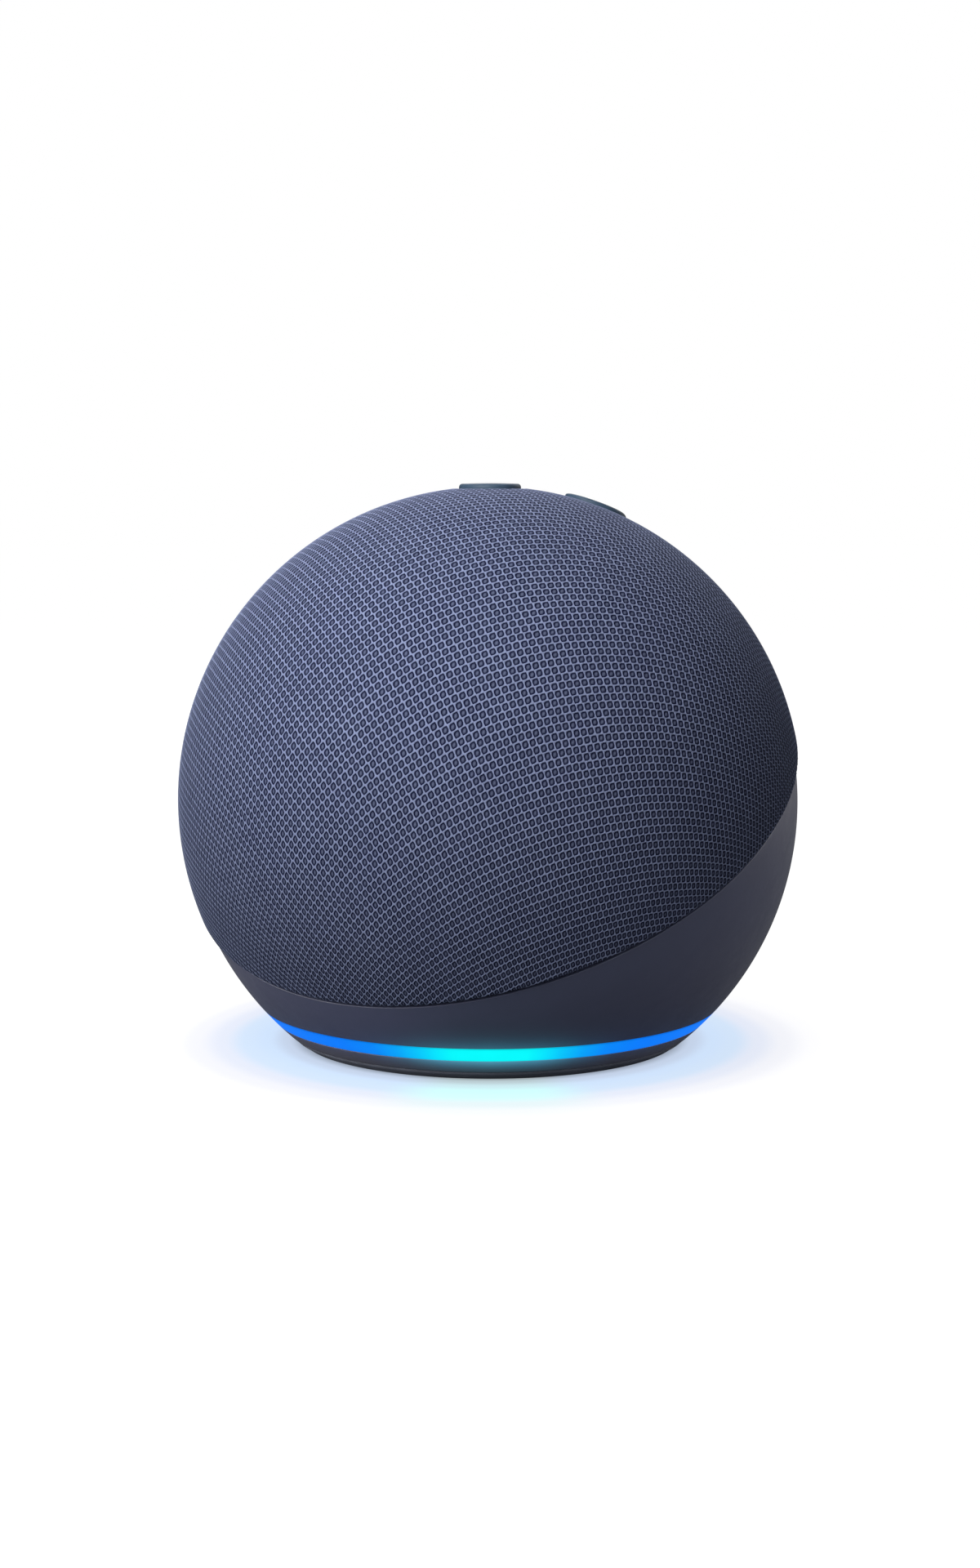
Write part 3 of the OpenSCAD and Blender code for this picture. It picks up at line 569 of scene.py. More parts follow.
def knit_relief():
    """The face of the knit: one small patch for each loop, with a raised yarn outline round a sunken eye."""
    span = 86.5
    n = int(span / 0.8) + 8
    I, J = np.meshgrid(np.arange(-n, n + 1), np.arange(-n, n + 1), indexing="ij")
    I, J = I.ravel(), J.ravel()
    C = I[:, None] * R1 + J[:, None] * R2
    d = flat_to_dir(C)
    keep = (np.hypot(C[:, 0], C[:, 1]) < span) & (d @ SEAM_N > math.cos(math.acos((SEAM_D + SEAM_GAP / 2) / COVER_R) + 0.025))
    for p in BTN.values():
        q = np.linalg.norm(d[:, :2] * COVER_R - np.array(p), axis=1)
        keep &= ~((q < BTN_R - 0.9) & (d[:, 2] > 0.5))
    I, J, C = I[keep], J[keep], C[keep]
    nc = len(C)
    # the six lattice neighbours in order round the cell, then the outline's corners between them
    near = [R1 - R2, R1, R2, R2 - R1, -R1, -R2]
    corners = [circumcentre(near[k], near[(k + 1) % 6]) for k in range(6)]
    start = int(np.argmin([abs(math.atan2(c[1], c[0])) for c in corners]))
    corners = corners[start:] + corners[:start]
    if math.atan2(corners[1][1], corners[1][0]) < 0:
        corners = [corners[0]] + corners[:0:-1]
    outline = []
    for k in range(6):
        a, b = corners[k], corners[(k + 1) % 6]
        outline += [a, (a + b) / 2]
    outline = np.array(outline)
    ang = np.radians(np.arange(12) * 30.0)
    # cells wander a little, so that the yarns are wavy as in real cloth
    r = lambda s: hash01(I, J, np.full(nc, s))
    jit = np.stack([r(1) - 0.5, r(2) - 0.5], 1) * np.array([0.035, 0.05])
    wide = 1 + (r(3) - 0.5) * 0.07
    tall = 1 + (r(4) - 0.5) * 0.06
    lean = (r(5) - 0.5) * 0.14
    bright = r(6)

    def eye(hw, hh, corner):
        # a six-sided loop with short upright sides; corner is how much of each side slopes
        c, s = np.cos(ang), np.sin(ang)
        m = 0.92 / np.maximum(np.abs(c), np.abs(s) + corner * np.abs(c)) + 0.08
        x = hw * m * c
        y = hh * m * s
        px = x[None, :] * wide[:, None] + lean[:, None] * y[None, :] * 0.25
        py = y[None, :] * tall[:, None]
        return np.stack([px, py], 2) + (C + jit)[:, None, :]

    def jitter(p, amp):
        k = np.round(p * 40).astype(np.int64)
        flat = k.reshape(-1, 2)
        g = np.stack([hash01(flat[:, 0], flat[:, 1], np.full(len(flat), 11)) - 0.5,
                      hash01(flat[:, 0], flat[:, 1], np.full(len(flat), 12)) - 0.5], 1)
        return p + (g * amp).reshape(p.shape)

    L0 = C[:, None, :] + outline[None, :, :]
    # weld the outlines: one vertex for each place
    flat0 = np.round(L0.reshape(-1, 2) * 50).astype(np.int64)
    _, first, inv = np.unique(flat0, axis=0, return_index=True, return_inverse=True)
    inv = inv.ravel()
    W0 = L0.reshape(-1, 2)[first]
    W0 = W0 + np.stack([hash01(flat0[first][:, 0], flat0[first][:, 1], np.full(len(first), 11)) - 0.5,
                        hash01(flat0[first][:, 0], flat0[first][:, 1], np.full(len(first), 12)) - 0.5], 1) * 0.05
    L1 = eye(0.612, 0.762, 0.75)
    L2 = eye(0.500, 0.668, 0.71)
    L3 = eye(0.190, 0.370, 0.50)
    L4 = (C + jit)[:, None, :]
    flat = np.concatenate([W0, L1.reshape(-1, 2), L2.reshape(-1, 2), L3.reshape(-1, 2), L4.reshape(-1, 2)])
    n0 = len(W0)
    h_crest = CREST * (0.94 + 0.06 * hash01(flat0[first][:, 0], flat0[first][:, 1], np.full(len(first), 17)))
    rep = lambda v: np.repeat(v, 12)
    h = np.concatenate([h_crest,
                        CREST * 0.78 * np.ones(12 * nc),
                        CREST * (0.10 + 0.08 * rep(r(7))),
                        CREST * (0.34 + 0.10 * rep(r(8))),
                        CREST * (0.52 + 0.12 * r(9))])
    # painted shade and highlight: 1 on the yarn crests, less on their flanks, 0 in the sunken ring round each eye,
    # lighter again on the eye's raised centre; the material darkens the cloth's colour by it
    painted_shade = np.concatenate([np.ones(n0), np.full(12 * nc, 0.84), np.zeros(12 * nc), np.full(12 * nc, 0.36), np.full(nc, 0.60)])
    tint = np.concatenate([np.full(n0, 0.5), rep(bright), rep(bright), rep(bright), bright])
    flat = flat + np.stack([smooth_noise(flat, 2.6, 21), smooth_noise(flat, 2.6, 22)], 1) * 0.03 \
                + np.stack([smooth_noise(flat, 9.0, 23), smooth_noise(flat, 9.0, 24)], 1) * 0.08
    pos, far, nn = wrap(flat_to_dir(flat), h)
    b1 = n0 + np.arange(nc)[:, None] * 12 + np.arange(12)
    b2, b3 = b1 + 12 * nc, b1 + 24 * nc
    b4 = n0 + 36 * nc + np.arange(nc)
    b0 = inv.reshape(nc, 12)
    quads, owner = [], []
    for a, b in ((b0, b1), (b1, b2), (b2, b3)):
        quads.append(np.stack([a, np.roll(a, -1, 1), np.roll(b, -1, 1), b], 2).reshape(-1, 4))
        owner.append(np.repeat(np.arange(nc), 12))
    tris = np.stack([b3, np.roll(b3, -1, 1), np.repeat(b4[:, None], 12, 1)], 2).reshape(-1, 3)
    quads = np.concatenate(quads)
    qo = np.concatenate(owner)
    to = np.repeat(np.arange(nc), 12)
    # outward winding
    q = pos[quads[0]]
    if np.cross(q[1] - q[0], q[2] - q[0]) @ nn[quads[0][0]] < 0:
        quads, tris = quads[:, ::-1], tris[:, ::-1]
    okq = (far[quads] < 2.0).all(1)
    okt = (far[tris] < 2.0).all(1)
    quads, qo, tris, to = quads[okq], qo[okq], tris[okt], to[okt]
    # normals of the whole face, so that strips meet without a line
    N = np.zeros_like(pos)
    fn = np.cross(pos[quads[:, 2]] - pos[quads[:, 0]], pos[quads[:, 3]] - pos[quads[:, 1]])
    for k in range(4):
        np.add.at(N, quads[:, k], fn)
    fn = np.cross(pos[tris[:, 1]] - pos[tris[:, 0]], pos[tris[:, 2]] - pos[tris[:, 0]])
    for k in range(3):
        np.add.at(N, tris[:, k], fn)
    N /= np.maximum(np.linalg.norm(N, axis=1), 1e-12)[:, None]
    return pos, N, quads, qo, tris, to, flat, painted_shade, tint, C


def knit_material():
    m = Mat("knit_fabric", lin(100, 106, 138), 0.9, spec=0.12)
    painted_shade, tint = m.attr("painted_shade"), m.attr("tint")
    cloth = m.attr("cloth", "Vector")
    # thread: fine twist and stray fibres, in the cloth's own coordinates
    fibre = m.noise(5.5, 4, 0.7, vec=cloth, distortion=0.8)
    patch = m.noise(0.055, 3, 0.5, vec=cloth)
    yarn = m.ramp(fibre, [(0.28, lin(116, 124, 156)), (0.72, lin(148, 159, 192))])
    # painted shadow: the near-black blue of the sunken ring round each eye, mixed in by the painted shade, which also
    # gives the painted highlight on the yarn crests
    painted_eye_shadow = m.ramp(fibre, [(0.28, lin(4, 8, 32)), (0.72, lin(12, 18, 54))])
    mask = m.ramp(painted_shade, [(0.16, 0.0), (0.36, 0.24), (0.58, 0.52), (0.84, 0.74), (0.96, 1.0)])
    c = m.mix(mask, painted_eye_shadow, yarn)
    c = m.mix(1.0, c, m.ramp(tint, [(0.0, 0.93), (1.0, 1.05)]), "MULTIPLY")
    c = m.mix(1.0, c, m.ramp(patch, [(0.3, (0.95, 0.95, 0.97, 1)), (0.7, (1.0, 1.0, 1.0, 1))]), "MULTIPLY")
    m.base(c)
    m.bump(fibre, 0.35, 0.00004)
    return m.m


KNIT = knit_material()
STRIPS = 10
pos, N, quads, qo, tris, to, flat, painted_shade, tint, cells = knit_relief()
order = np.argsort(np.argsort(cells[:, 0]))
strip_of = (order * STRIPS) // len(cells)
for s in range(STRIPS):
    q, t = quads[strip_of[qo] == s], tris[strip_of[to] == s]
    used = np.unique(np.concatenate([q.ravel(), t.ravel()]))
    back = np.full(len(pos), -1, np.int64)
    back[used] = np.arange(len(used))
    cl = np.concatenate([flat[used], np.zeros((len(used), 1))], 1)
    ob = build_mesh(f"knit_face_{s + 1}", pos[used], [back[q], back[t]], KNIT,
                    floats={"painted_shade": painted_shade[used], "tint": tint[used], "cloth": cl}, normals=N[used])
    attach(ob, "speaker_body")


def knit_ground():
    """The one sheet of cloth under the face yarns, over the dome and turned in at the seam, with the four button holes cut."""
    phi_e = math.acos((SEAM_D + SEAM_GAP / 2) / COVER_R)
    phi_c = phi_e - (CURL + CREST) / BASE_R
    rows = np.concatenate([np.linspace(0.004, phi_c, 112), phi_c + np.linspace(0, 2.0 * CURL / BASE_R, 10)[1:]])
    segs = 288
    a = np.linspace(0, 2 * math.pi, segs, endpoint=False)
    ey = np.array([0.0, math.cos(SEAM_TILT), math.sin(SEAM_TILT)])
    d = np.concatenate([math.sin(p) * (np.cos(a)[:, None] * KX + np.sin(a)[:, None] * ey) + math.cos(p) * SEAM_N for p in rows])
    p, far, nn = wrap(d, np.full(len(d), -0.03))
    rings = [np.arange(segs) + i * segs for i in range(len(rows))]
    f = loft(rings)
    # the holes: points inside are drawn back to the hole's edge
    xy = d[:, :2] * BASE_R
    drop = np.zeros(len(d), bool)
    for c in BTN.values():
        q = xy - np.array(c)
        ql = np.linalg.norm(q, axis=1)
        drop |= (ql < BTN_R + BTN_GAP + 0.25) & (d[:, 2] > 0.4)
    f = f[~drop[f].any(1)]
    edge_count = {}
    for c in BTN.values():
        q = p[:, :2] - np.array(c)
        ql = np.linalg.norm(q, axis=1)
        m = (ql < BTN_R + BTN_GAP + 1.0) & (p[:, 2] > 60)
        used = np.zeros(len(p), bool)
        used[f.ravel()] = True
        m &= used
        u = q[m] / ql[m][:, None]
        nq = np.minimum(ql[m], BTN_R + BTN_GAP + 0.34)
        xyn = np.array(c) + u * nq[:, None]
        p[m, :2] = xyn
        p[m, 2] = BALL[2] + np.sqrt((BASE_R - 0.4) ** 2 - (xyn ** 2).sum(1))
    used = np.unique(f)
    back = np.full(len(p), -1)
    back[used] = np.arange(len(used))
    cl = np.concatenate([xy[used], np.zeros((len(used), 1))], 1)
    m = Mat("knit_ground", lin(24, 29, 48), 0.9, spec=0.15, sheen=0.1)
    cloth = m.attr("cloth", "Vector")
    fibre = m.noise(5.0, 4, 0.7, vec=cloth, distortion=0.6)
    m.base(m.ramp(fibre, [(0.3, lin(18, 22, 38)), (0.7, lin(38, 44, 68))]))
    m.bump(fibre, 0.4, 0.00005)
    q = p[f[0]]
    if np.cross(q[1] - q[0], q[2] - q[0]) @ nn[f[0][0]] < 0:
        f = f[:, ::-1]
    return build_mesh("knit_ground", p[used], [back[f]], m.m, floats={"cloth": cl})


ground = knit_ground()
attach(ground, "speaker_body")
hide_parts("fabric_cover")


# ------------------------------------------------------------------ smooth outer mouldings
def on_shell(r, z):
    return math.sqrt(max(r * r - (z - SHELL_Z) ** 2, 0.0))


def shell_piece():
    """Rear housing: the smooth ball below the seam, with a rounded lip at the seam and at the light ring."""
    n = SEAM_N
    off = SEAM_D - SEAM_GAP / 2                       # seam plane of the shell's edge, from the ball's centre
    segs = 360
    a = np.linspace(0, 2 * math.pi, segs, endpoint=False)
    centre = np.array([0, 0, SHELL_Z])
    # each meridian runs from the ring's upper edge to the seam, in shell-centred coordinates
    z_low = RING_Z1 + 0.03
    cols = []
    inner_r = SHELL_R - 2.2
    fil = 0.20
    for t in a:
        hx, hy = math.sin(t), -math.cos(t)
        # angle of elevation on the shell where the seam plane is met, by bisection
        def pt(el, r=SHELL_R):
            return np.array([r * math.cos(el) * hx, r * math.cos(el) * hy, SHELL_Z + r * math.sin(el)])
        lo, hi = math.asin((z_low - SHELL_Z) / SHELL_R), math.radians(85)
        f = lambda el: (pt(el) - BALL) @ n - off
        b_lo, b_hi = lo, hi
        for _ in range(40):
            mid = (b_lo + b_hi) / 2
            if f(mid) < 0:
                b_lo = mid
            else:
                b_hi = mid
        top = b_lo
        cols.append((hx, hy, lo, top))
    rows = 90
    V = []
    for hx, hy, lo, top in cols:
        col = []
        # lower lip: inside wall, then a small round onto the outside
        def q(el, r):
            return (r * math.cos(el) * hx, r * math.cos(el) * hy, SHELL_Z + r * math.sin(el))
        g = fil / SHELL_R
        col.append(q(lo, inner_r))
        col.append(q(lo, SHELL_R - fil * 0.8))
        col.append(q(lo + g * 0.06, SHELL_R - fil * 0.42))
        col.append(q(lo + g * 0.25, SHELL_R - fil * 0.12))
        col.append(q(lo + g * 0.60, SHELL_R - fil * 0.01))
        for k in range(rows):
            w = k / (rows - 1)
            col.append(q(lo + g + (top - lo - 2.2 * g) * w, SHELL_R))
        col.append(q(top - g * 0.62, SHELL_R - fil * 0.05))
        col.append(q(top - g * 0.28, SHELL_R - fil * 0.22))
        col.append(q(top - g * 0.07, SHELL_R - fil * 0.52))
        col.append(q(top, SHELL_R - fil))
        col.append(q(top, inner_r + 0.4))
        V.append(col)
    V = np.array(V)                                   # segs x rows x 3
    nr = V.shape[1]
    v = V.transpose(1, 0, 2).reshape(-1, 3)
    rings = [np.arange(segs) + i * segs for i in range(nr)]
    f = loft(rings)
    # the power inlet: a round hole in the back, kept out of the mesh and lined by the bezel
    rr = np.where(v[:, 1] > 0, np.hypot(v[:, 0], v[:, 2] - 22.0), 99.0)
    gone = (rr[f] < 8.0).any(1)
    rim = np.intersect1d(f[gone].ravel(), f[~gone].ravel())
    f = f[~gone]
    r_here = np.where(np.linalg.norm(v[rim] - centre, axis=1) > SHELL_R - 1.0, SHELL_R, inner_r)
    k = 8.05 / rr[rim]
    v[rim, 0] *= k
    v[rim, 2] = 22.0 + (v[rim, 2] - 22.0) * k
    v[rim, 1] = np.sqrt(r_here ** 2 - v[rim, 0] ** 2 - (v[rim, 2] - SHELL_Z) ** 2)
    q = v[f[1000]]
    if np.cross(q[1] - q[0], q[2] - q[0]) @ (q[0] - centre) < 0:
        f = f[:, ::-1]
    return build_mesh("rear_shell", v, [f], SHELL)


shell = shell_piece()
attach(shell, "speaker_body")
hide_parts("rear_housing")


def band(name, z0, z1, inner, material, low=0.12, high=0.12, steps=10, segs=360):
    """A turned band that follows the ball between two heights, with rounded edges."""
    r = lambda z: on_shell(SHELL_R, z)
    prof = [(inner, z0), (r(z0) - low, z0), (r(z0 + low * 0.3) - low * 0.35, z0 + low * 0.12), (r(z0 + low) - 0.0, z0 + low)]
    for k in range(1, steps):
        z = z0 + low + (z1 - high - z0 - low) * k / steps
        prof.append((r(z), z))
    prof += [(r(z1 - high), z1 - high), (r(z1) - high * 0.35, z1 - high * 0.12), (r(z1) - high, z1), (inner, z1)]
    ob = lathe(name, prof, material, segs=segs, close=True)
    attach(ob, "speaker_body")
    return ob


ring = band("light_band", RING_Z0 + 0.04, RING_Z1 - 0.04, 32.4, RING, 0.05, 0.05)
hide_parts("light_ring")
trim = band("base_band", FOOT_H, RING_Z0, 29.8, TRIM, 0.16, 0.14)
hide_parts("base_trim")
r0 = on_shell(SHELL_R, 0.0)
foot = lathe("foot_pad", [(20.0, 0.0), (24.7, 0.0), (24.8, 0.4), (25.6, 0.4), (25.7, 0.0), (r0 - 0.5, 0.0), (r0 - 0.15, 0.06), (r0 + 0.1, 0.28),
                          (on_shell(SHELL_R, 0.8), 0.8), (on_shell(SHELL_R, 1.3) - 0.05, 1.3), (on_shell(SHELL_R, 1.45) - 0.3, 1.47), (20.0, 1.47), (20.0, 0.0)],
             FOOT, segs=360)
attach(foot, "speaker_body")
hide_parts("rubber_foot")


# ------------------------------------------------------------------ driver surround
def on_driver(ob):
    """Turn a piece made about the Z axis to face forward on the driver's axis."""
    for v in ob.data.vertices:
        x, y, z = v.co
        v.co = (x, -25.0 / 1000 - z, 38.0 / 1000 + y)
    ob.data.update()
    return ob


# two pieces, so that the lip glued to the cone travels with it while the roll stays clamped in the basket
arc = lambda r, a: (20.56 + r * math.cos(math.radians(a)), r * math.sin(math.radians(a)))
roll = on_driver(lathe("surround_roll", [(23.4, 0.02), (23.4, 0.4)] + [arc(1.80, a) for a in range(13, 181, 12)] + [arc(1.46, a) for a in range(180, 0, -12)] + [(22.02, 0.02)],
                       RUBBER, segs=144, close=True))
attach(roll, "speaker_body")
lip = on_driver(lathe("surround_lip", [(17.4, -1.3), (18.35, -0.85), (18.45, 0.05), (18.66, 0.05), (18.66, 0.3), (18.4, 0.3), (18.2, -0.45), (17.3, -0.95)],
                      RUBBER, segs=144, close=True))
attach(lip, "cone_assembly")
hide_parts("surround")
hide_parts("surround")


# ------------------------------------------------------------------ buttons
def icon_distance(kind, x, y):
    """How far outside the mark's strokes a point is, in mm (negative inside)."""
    box = lambda px, py, w, h, r: np.hypot(np.maximum(np.abs(px) - w + r, 0), np.maximum(np.abs(py) - h + r, 0)) - r
    if kind == "plus":
        return np.minimum(box(x, y, 1.55, 0.2, 0.1), box(x, y, 0.2, 1.55, 0.1))
    if kind == "minus":
        return box(x, y, 1.55, 0.2, 0.1)
    if kind == "dot":
        return np.abs(np.hypot(x, y) - 1.15) - 0.19
    d = box(x, y - 0.55, 0.5, 1.0, 0.5)                                        # microphone capsule outline
    d = np.abs(d) - 0.14
    arc = np.maximum(np.abs(np.hypot(x, y - 0.35) - 1.05) - 0.13, y - 0.35)
    stem = box(x, y + 1.05, 0.13, 0.4, 0.05)
    foot_ = box(x, y + 1.45, 0.6, 0.13, 0.1)
    s, c = math.sin(math.radians(45)), math.cos(math.radians(45))
    slash = box(c * x + s * (y), -s * x + c * (y), 1.9, 0.15, 0.1)
    return np.minimum.reduce([d, arc, stem, foot_, slash])


def button(body, kind):
    px, py = BTN[body]
    p = np.array([px, py])
    top_r = COVER_R + BTN_PROUD
    # radial stations (distance from the axis, radius of the ball-concentric surface there)
    prof = [(BTN_R, 47.0), (BTN_R, 48.6), (BTN_R, 49.4), (BTN_R - 0.01, 50.0), (BTN_R - 0.03, 50.22), (BTN_R - 0.09, 50.38), (BTN_R - 0.19, 50.50),
            (BTN_R - 0.33, 50.58), (BTN_R - 0.50, top_r)]
    segs = 144
    a = np.linspace(0, 2 * math.pi, segs, endpoint=False)
    V, F, ink = [], [], []

    def surface(xy, r):
        return BALL[2] + np.sqrt(r ** 2 - (xy ** 2).sum(1))

    rings = []
    count = 0
    for q, r in prof:
        xy = p + q * np.stack([np.cos(a), np.sin(a)], 1)
        V.append(np.concatenate([xy, surface(xy, r)[:, None]], 1))
        ink.append(np.zeros(segs))
        rings.append(np.arange(segs) + count)
        count += segs
    # the cap's top: fine rings so that the engraved mark is crisp, slightly dished like a finger pad
    qs = np.linspace(BTN_R - 0.50, 0.02, 64)[1:]
    for q in qs:
        xy = p + q * np.stack([np.cos(a), np.sin(a)], 1)
        dist = icon_distance(kind, *(q * np.stack([np.cos(a), np.sin(a)])))
        cut = np.clip(0.5 - dist / 0.12, 0, 1)
        dish = 0.10 * (1 - (q / (BTN_R - 0.5)) ** 2)
        z = surface(xy, top_r) - dish - 0.10 * cut
        V.append(np.concatenate([xy, z[:, None]], 1))
        ink.append(cut)
        rings.append(np.arange(segs) + count)
        count += segs
    F.append(loft(rings))
    V.append(np.array([[px, py, V[-1][:, 2].mean()]]))
    ink.append(np.array([ink[-1].mean()]))
    last = rings[-1]
    T = [np.stack([last, np.roll(last, -1), np.full(segs, count)], 1)]
    count += 1
    # below: the retaining flange and the stem that reaches the switch plunger
    gi = COVER_R - 0.8 - 0.1 - 2.0
    low = []
    for q, r in ((BTN_R, 47.0), (BTN_R, gi - 0.36), (5.86, gi - 0.36), (5.9, gi - 0.5), (5.9, gi - 1.2), (5.8, gi - 1.28), (1.52, gi - 1.28)):
        xy = p + q * np.stack([np.cos(a), np.sin(a)], 1)
        V.append(np.concatenate([xy, surface(xy, r)[:, None]], 1))
        ink.append(np.zeros(segs))
        low.append(np.arange(segs) + count)
        count += segs
    stem_z = 67.0 + 4.8
    for q, z in ((1.5, stem_z + 0.25), (1.35, stem_z), (0.02, stem_z)):
        xy = p + q * np.stack([np.cos(a), np.sin(a)], 1)
        V.append(np.concatenate([xy, np.full((segs, 1), z)], 1))
        ink.append(np.zeros(segs))
        low.append(np.arange(segs) + count)
        count += segs
    F.append(loft(low)[:, ::-1])
    V = np.concatenate(V)
    ob = build_mesh(body + "_cap", V, [np.concatenate(F), T[0]], BUTTON, floats={"icon": np.concatenate(ink)})
    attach(ob, body)
    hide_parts(body + "_button")
    return ob


for body, kind in (("action", "dot"), ("volume_up", "plus"), ("mute", "mic"), ("volume_down", "minus")):
    button(body, kind)


# ------------------------------------------------------------------ floor, lights, camera
FLOOR_LAMP = 0.15


def floor_material():
    """Plain white table, a little shaded by the lamps, with the ring's soft blue and cyan glow and a darker contact
    shadow round the foot painted into its colour and its emission.
    """
    m = Mat("floor_white", (0.9, 0.9, 0.9, 1), 0.9, spec=0.0)
    sep = m.node("ShaderNodeSeparateXYZ")
    m.link(m.obj(), sep.inputs[0])
    x, y = sep.outputs[0], sep.outputs[1]
    r = m.math("MULTIPLY", m.math("SQRT", m.math("ADD", m.math("MULTIPLY", x, x), m.math("MULTIPLY", y, y))), 1000.0)
    az = m.math("ARCTAN2", x, m.math("MULTIPLY", y, -1.0))
    d = m.math("MULTIPLY", m.math("ARCCOSINE", m.math("COSINE", m.math("SUBTRACT", az, CYAN_AZ))), 180 / math.pi)
    # painted glow and shadow: the ramps run outward from 30 mm; darkest at the foot as a painted contact shadow, then
    # tinted blue, and cyan towards the ring's cyan part, as painted light from the ring
    g = m.math("MULTIPLY", m.math("SUBTRACT", r, 30.0), 1 / 32.0, clamp=True)      # 30..62 mm
    blue = m.ramp(g, [(0.0, lin(150, 160, 176)), (0.09, lin(196, 210, 232)), (0.19, lin(206, 225, 248)), (0.30, lin(209, 226, 246)), (0.42, lin(226, 231, 244)),
                      (0.55, lin(239, 240, 246)), (0.70, lin(249, 249, 251)), (0.86, lin(253, 253, 253)), (1.0, lin(255, 255, 255))], "EASE")
    cyan = m.ramp(g, [(0.0, lin(150, 158, 162)), (0.07, lin(186, 204, 210)), (0.16, lin(202, 230, 236)), (0.26, lin(205, 247, 247)), (0.36, lin(209, 247, 248)), (0.50, lin(226, 240, 243)),
                      (0.64, lin(242, 245, 247)), (0.82, lin(252, 252, 252)), (1.0, lin(255, 255, 255))], "EASE")
    side = m.ramp(m.math("MULTIPLY", d, 1 / 60), [(0.0, 1.0), (0.14, 1.0), (0.42, 0.0)], "EASE")
    painted_glow_and_shadow = m.mix(side, blue, cyan)
    em = m.node("ShaderNodeEmission")
    m.link(painted_glow_and_shadow, em.inputs[0])
    # full white to the eye; less as a lamp, as the studio table is turned down from underneath
    lp = m.node("ShaderNodeLightPath")
    m.link(m.math("ADD", m.math("MULTIPLY", lp.outputs["Is Camera Ray"], 1.0 - FLOOR_LAMP), FLOOR_LAMP), em.inputs[1])
    # the lamp-lit part of the table carries the same painted glow and shadow
    m.base(m.mix(1.0, painted_glow_and_shadow, (0.10, 0.10, 0.10, 1), "MULTIPLY"))
    add = m.node("ShaderNodeAddShader")
    m.link(em.outputs[0], add.inputs[0])
    m.link(m.p.outputs[0], add.inputs[1])
    m.link(add.outputs[0], m.out.inputs[0])
    return m.m


fv, ff = [], []
R_FLOOR = [0.0, 28, 34, 40, 46, 52, 58, 66, 90, 160, 320, 700, 1600, 4000]
fl = lathe("table_top", [(r if r else 0.01, -0.02 if r else -0.02) for r in R_FLOOR][::-1], floor_material(), segs=96)
fl.visible_diffuse = True

cam_data = bpy.data.cameras.new("camera")
cam = bpy.data.objects.new("camera", cam_data)
scene.collection.objects.link(cam)
EL, AZ, DIST = math.radians(7.0), math.radians(30.7), 0.400
aim = Vector((0, 0, 0.039))
to_cam = Vector((math.sin(AZ) * math.cos(EL), -math.cos(AZ) * math.cos(EL), math.sin(EL)))
cam.location = aim + to_cam * DIST
cam.rotation_euler = (-to_cam).to_track_quat("-Z", "Y").to_euler()
cam_data.lens = 56.87
cam_data.sensor_width = 36.0
cam_data.shift_y = 0.00922
cam_data.clip_start = 0.01
cam_data.clip_end = 20
scene.camera = cam
scene.view_settings.view_transform = "Standard"
scene.view_settings.look = "None"

RIGHT = Vector((math.cos(AZ), math.sin(AZ), 0))
FRONT = Vector((math.sin(AZ), -math.cos(AZ), 0))
UP = Vector((0, 0, 1))


def softbox(name, az, el, dist, size, power, color=(1, 1, 1), size_y=None, only=None):
    """A studio softbox, placed by its direction from the ball as the front view sees it, in degrees."""
    ld = bpy.data.lights.new(name, "AREA")
    ld.shape = "RECTANGLE"
    ld.size = size
    ld.size_y = size_y or size
    ld.energy = power
    ld.color = color
    ob = bpy.data.objects.new(name, ld)
    scene.collection.objects.link(ob)
    a, e = math.radians(az), math.radians(el)
    dvec = (RIGHT * math.sin(a) * math.cos(e) + FRONT * math.cos(a) * math.cos(e) + UP * math.sin(e)).normalized()
    ob.location = aim + dvec * dist
    ob.rotation_euler = (-dvec).to_track_quat("-Z", "Y").to_euler()
    ob.visible_camera = False
    if only:
        group = bpy.data.collections.new(name + "_lit")
        for x in only:
            group.objects.link(x)
        ob.light_linking.receiver_collection = group
    return ob


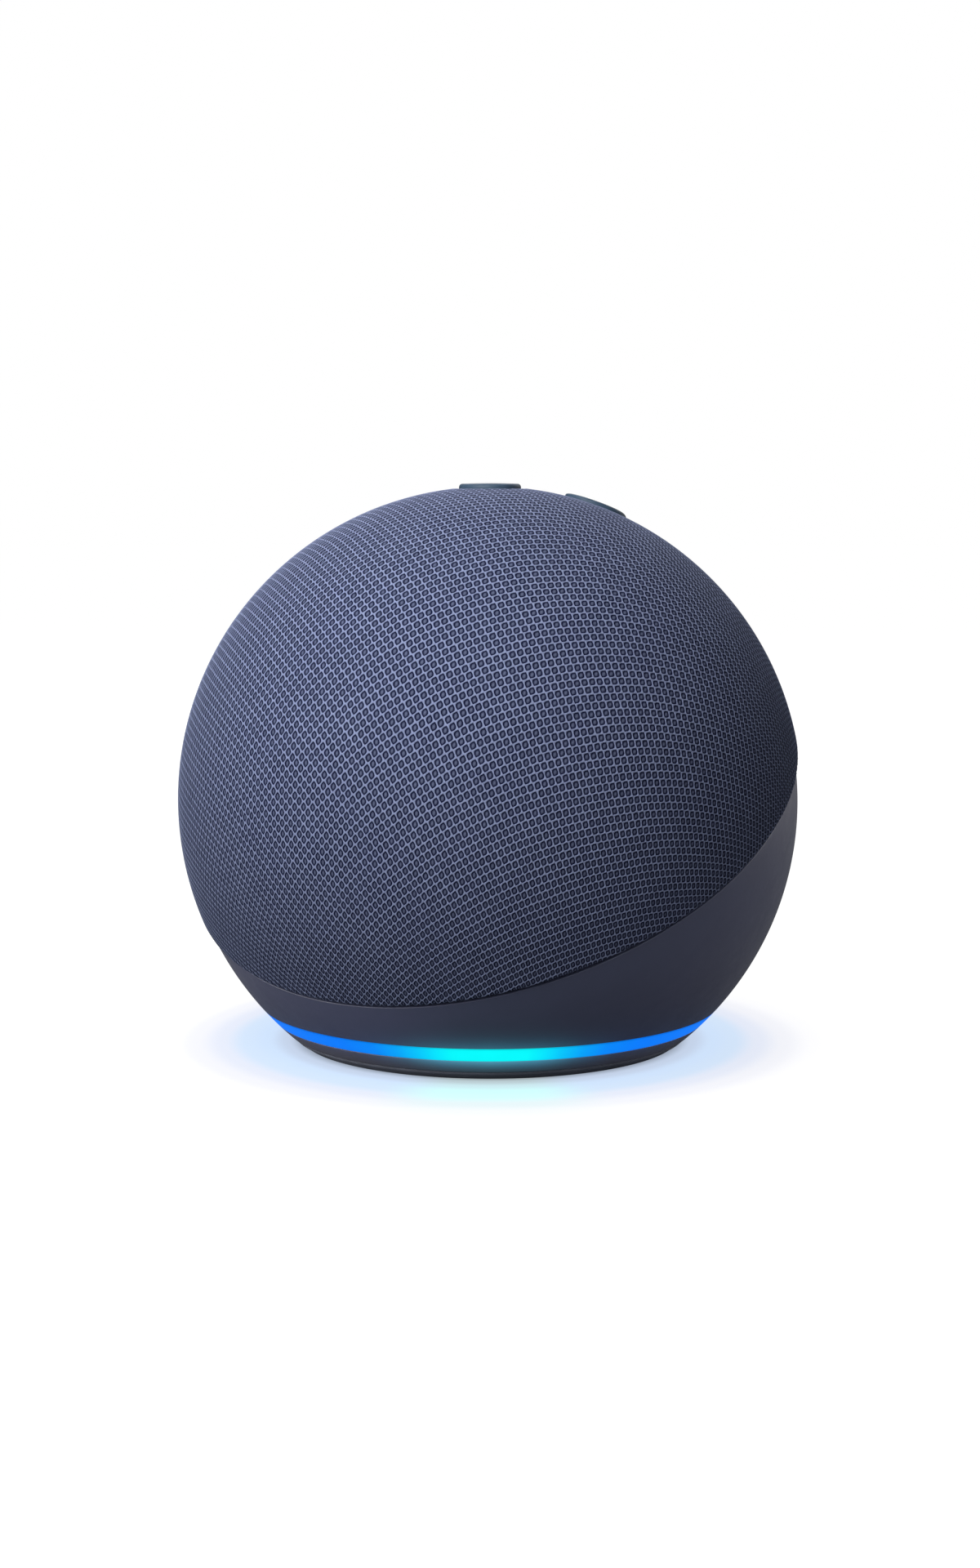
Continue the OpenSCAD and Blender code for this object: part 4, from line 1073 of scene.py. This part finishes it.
SMOOTH = [shell, trim, foot, NODES["inlet_bezel"]]
softbox("key", -36, 46, 0.26, 0.15, 0.31)
softbox("key_low", -45, 30, 0.26, 0.15, 0.03)
softbox("main", -31, 36, 0.26, 0.17, 0.40)
softbox("main_near", -15, 45, 0.26, 0.15, 0.06)
softbox("front", 0, 30, 0.26, 0.15, 0.025)
softbox("back", 180, 45, 0.85, 0.50, 3.6)
softbox("back_side", 135, 25, 0.85, 0.50, 1.2)
softbox("rim_right", 80, 8, 0.6, 0.16, 0.80, (1.0, 0.95, 0.88), 0.6, only=SMOOTH)
softbox("rim_right_mid", 100, 8, 0.6, 0.16, 1.05, (1.0, 0.95, 0.88), 0.6, only=SMOOTH)
softbox("rim_right_back", 125, 8, 0.6, 0.16, 0.80, (1.0, 0.95, 0.88), 0.6, only=SMOOTH)
softbox("rim_left", -78, 4, 0.6, 0.16, 5.4, (1.0, 0.96, 0.92), 0.6, only=SMOOTH)
softbox("low_left", -50, 4, 0.6, 0.16, 2.7, (1.0, 0.96, 0.92), 0.6, only=SMOOTH)
softbox("low_right", 42, 3, 0.6, 0.16, 0.65, (1.0, 0.99, 0.97), 0.6, only=SMOOTH)
softbox("low_front", 20, 2, 0.6, 0.16, 1.35, (0.97, 0.98, 1.0), 0.6, only=SMOOTH)

w = bpy.data.worlds.new("studio")
scene.world = w
w.use_nodes = True
nt = w.node_tree
nt.nodes.clear()
o = nt.nodes.new("ShaderNodeOutputWorld")
white = nt.nodes.new("ShaderNodeBackground")
white.inputs[0].default_value = (1, 1, 1, 1)
white.inputs[1].default_value = 1.0
dim = nt.nodes.new("ShaderNodeBackground")
dim.inputs[0].default_value = (0.9, 0.94, 1.0, 1)
dim.inputs[1].default_value = 0.012
lp = nt.nodes.new("ShaderNodeLightPath")
mx = nt.nodes.new("ShaderNodeMixShader")
nt.links.new(lp.outputs["Is Camera Ray"], mx.inputs[0])
nt.links.new(dim.outputs[0], mx.inputs[1])
nt.links.new(white.outputs[0], mx.inputs[2])
nt.links.new(mx.outputs[0], o.inputs[0])
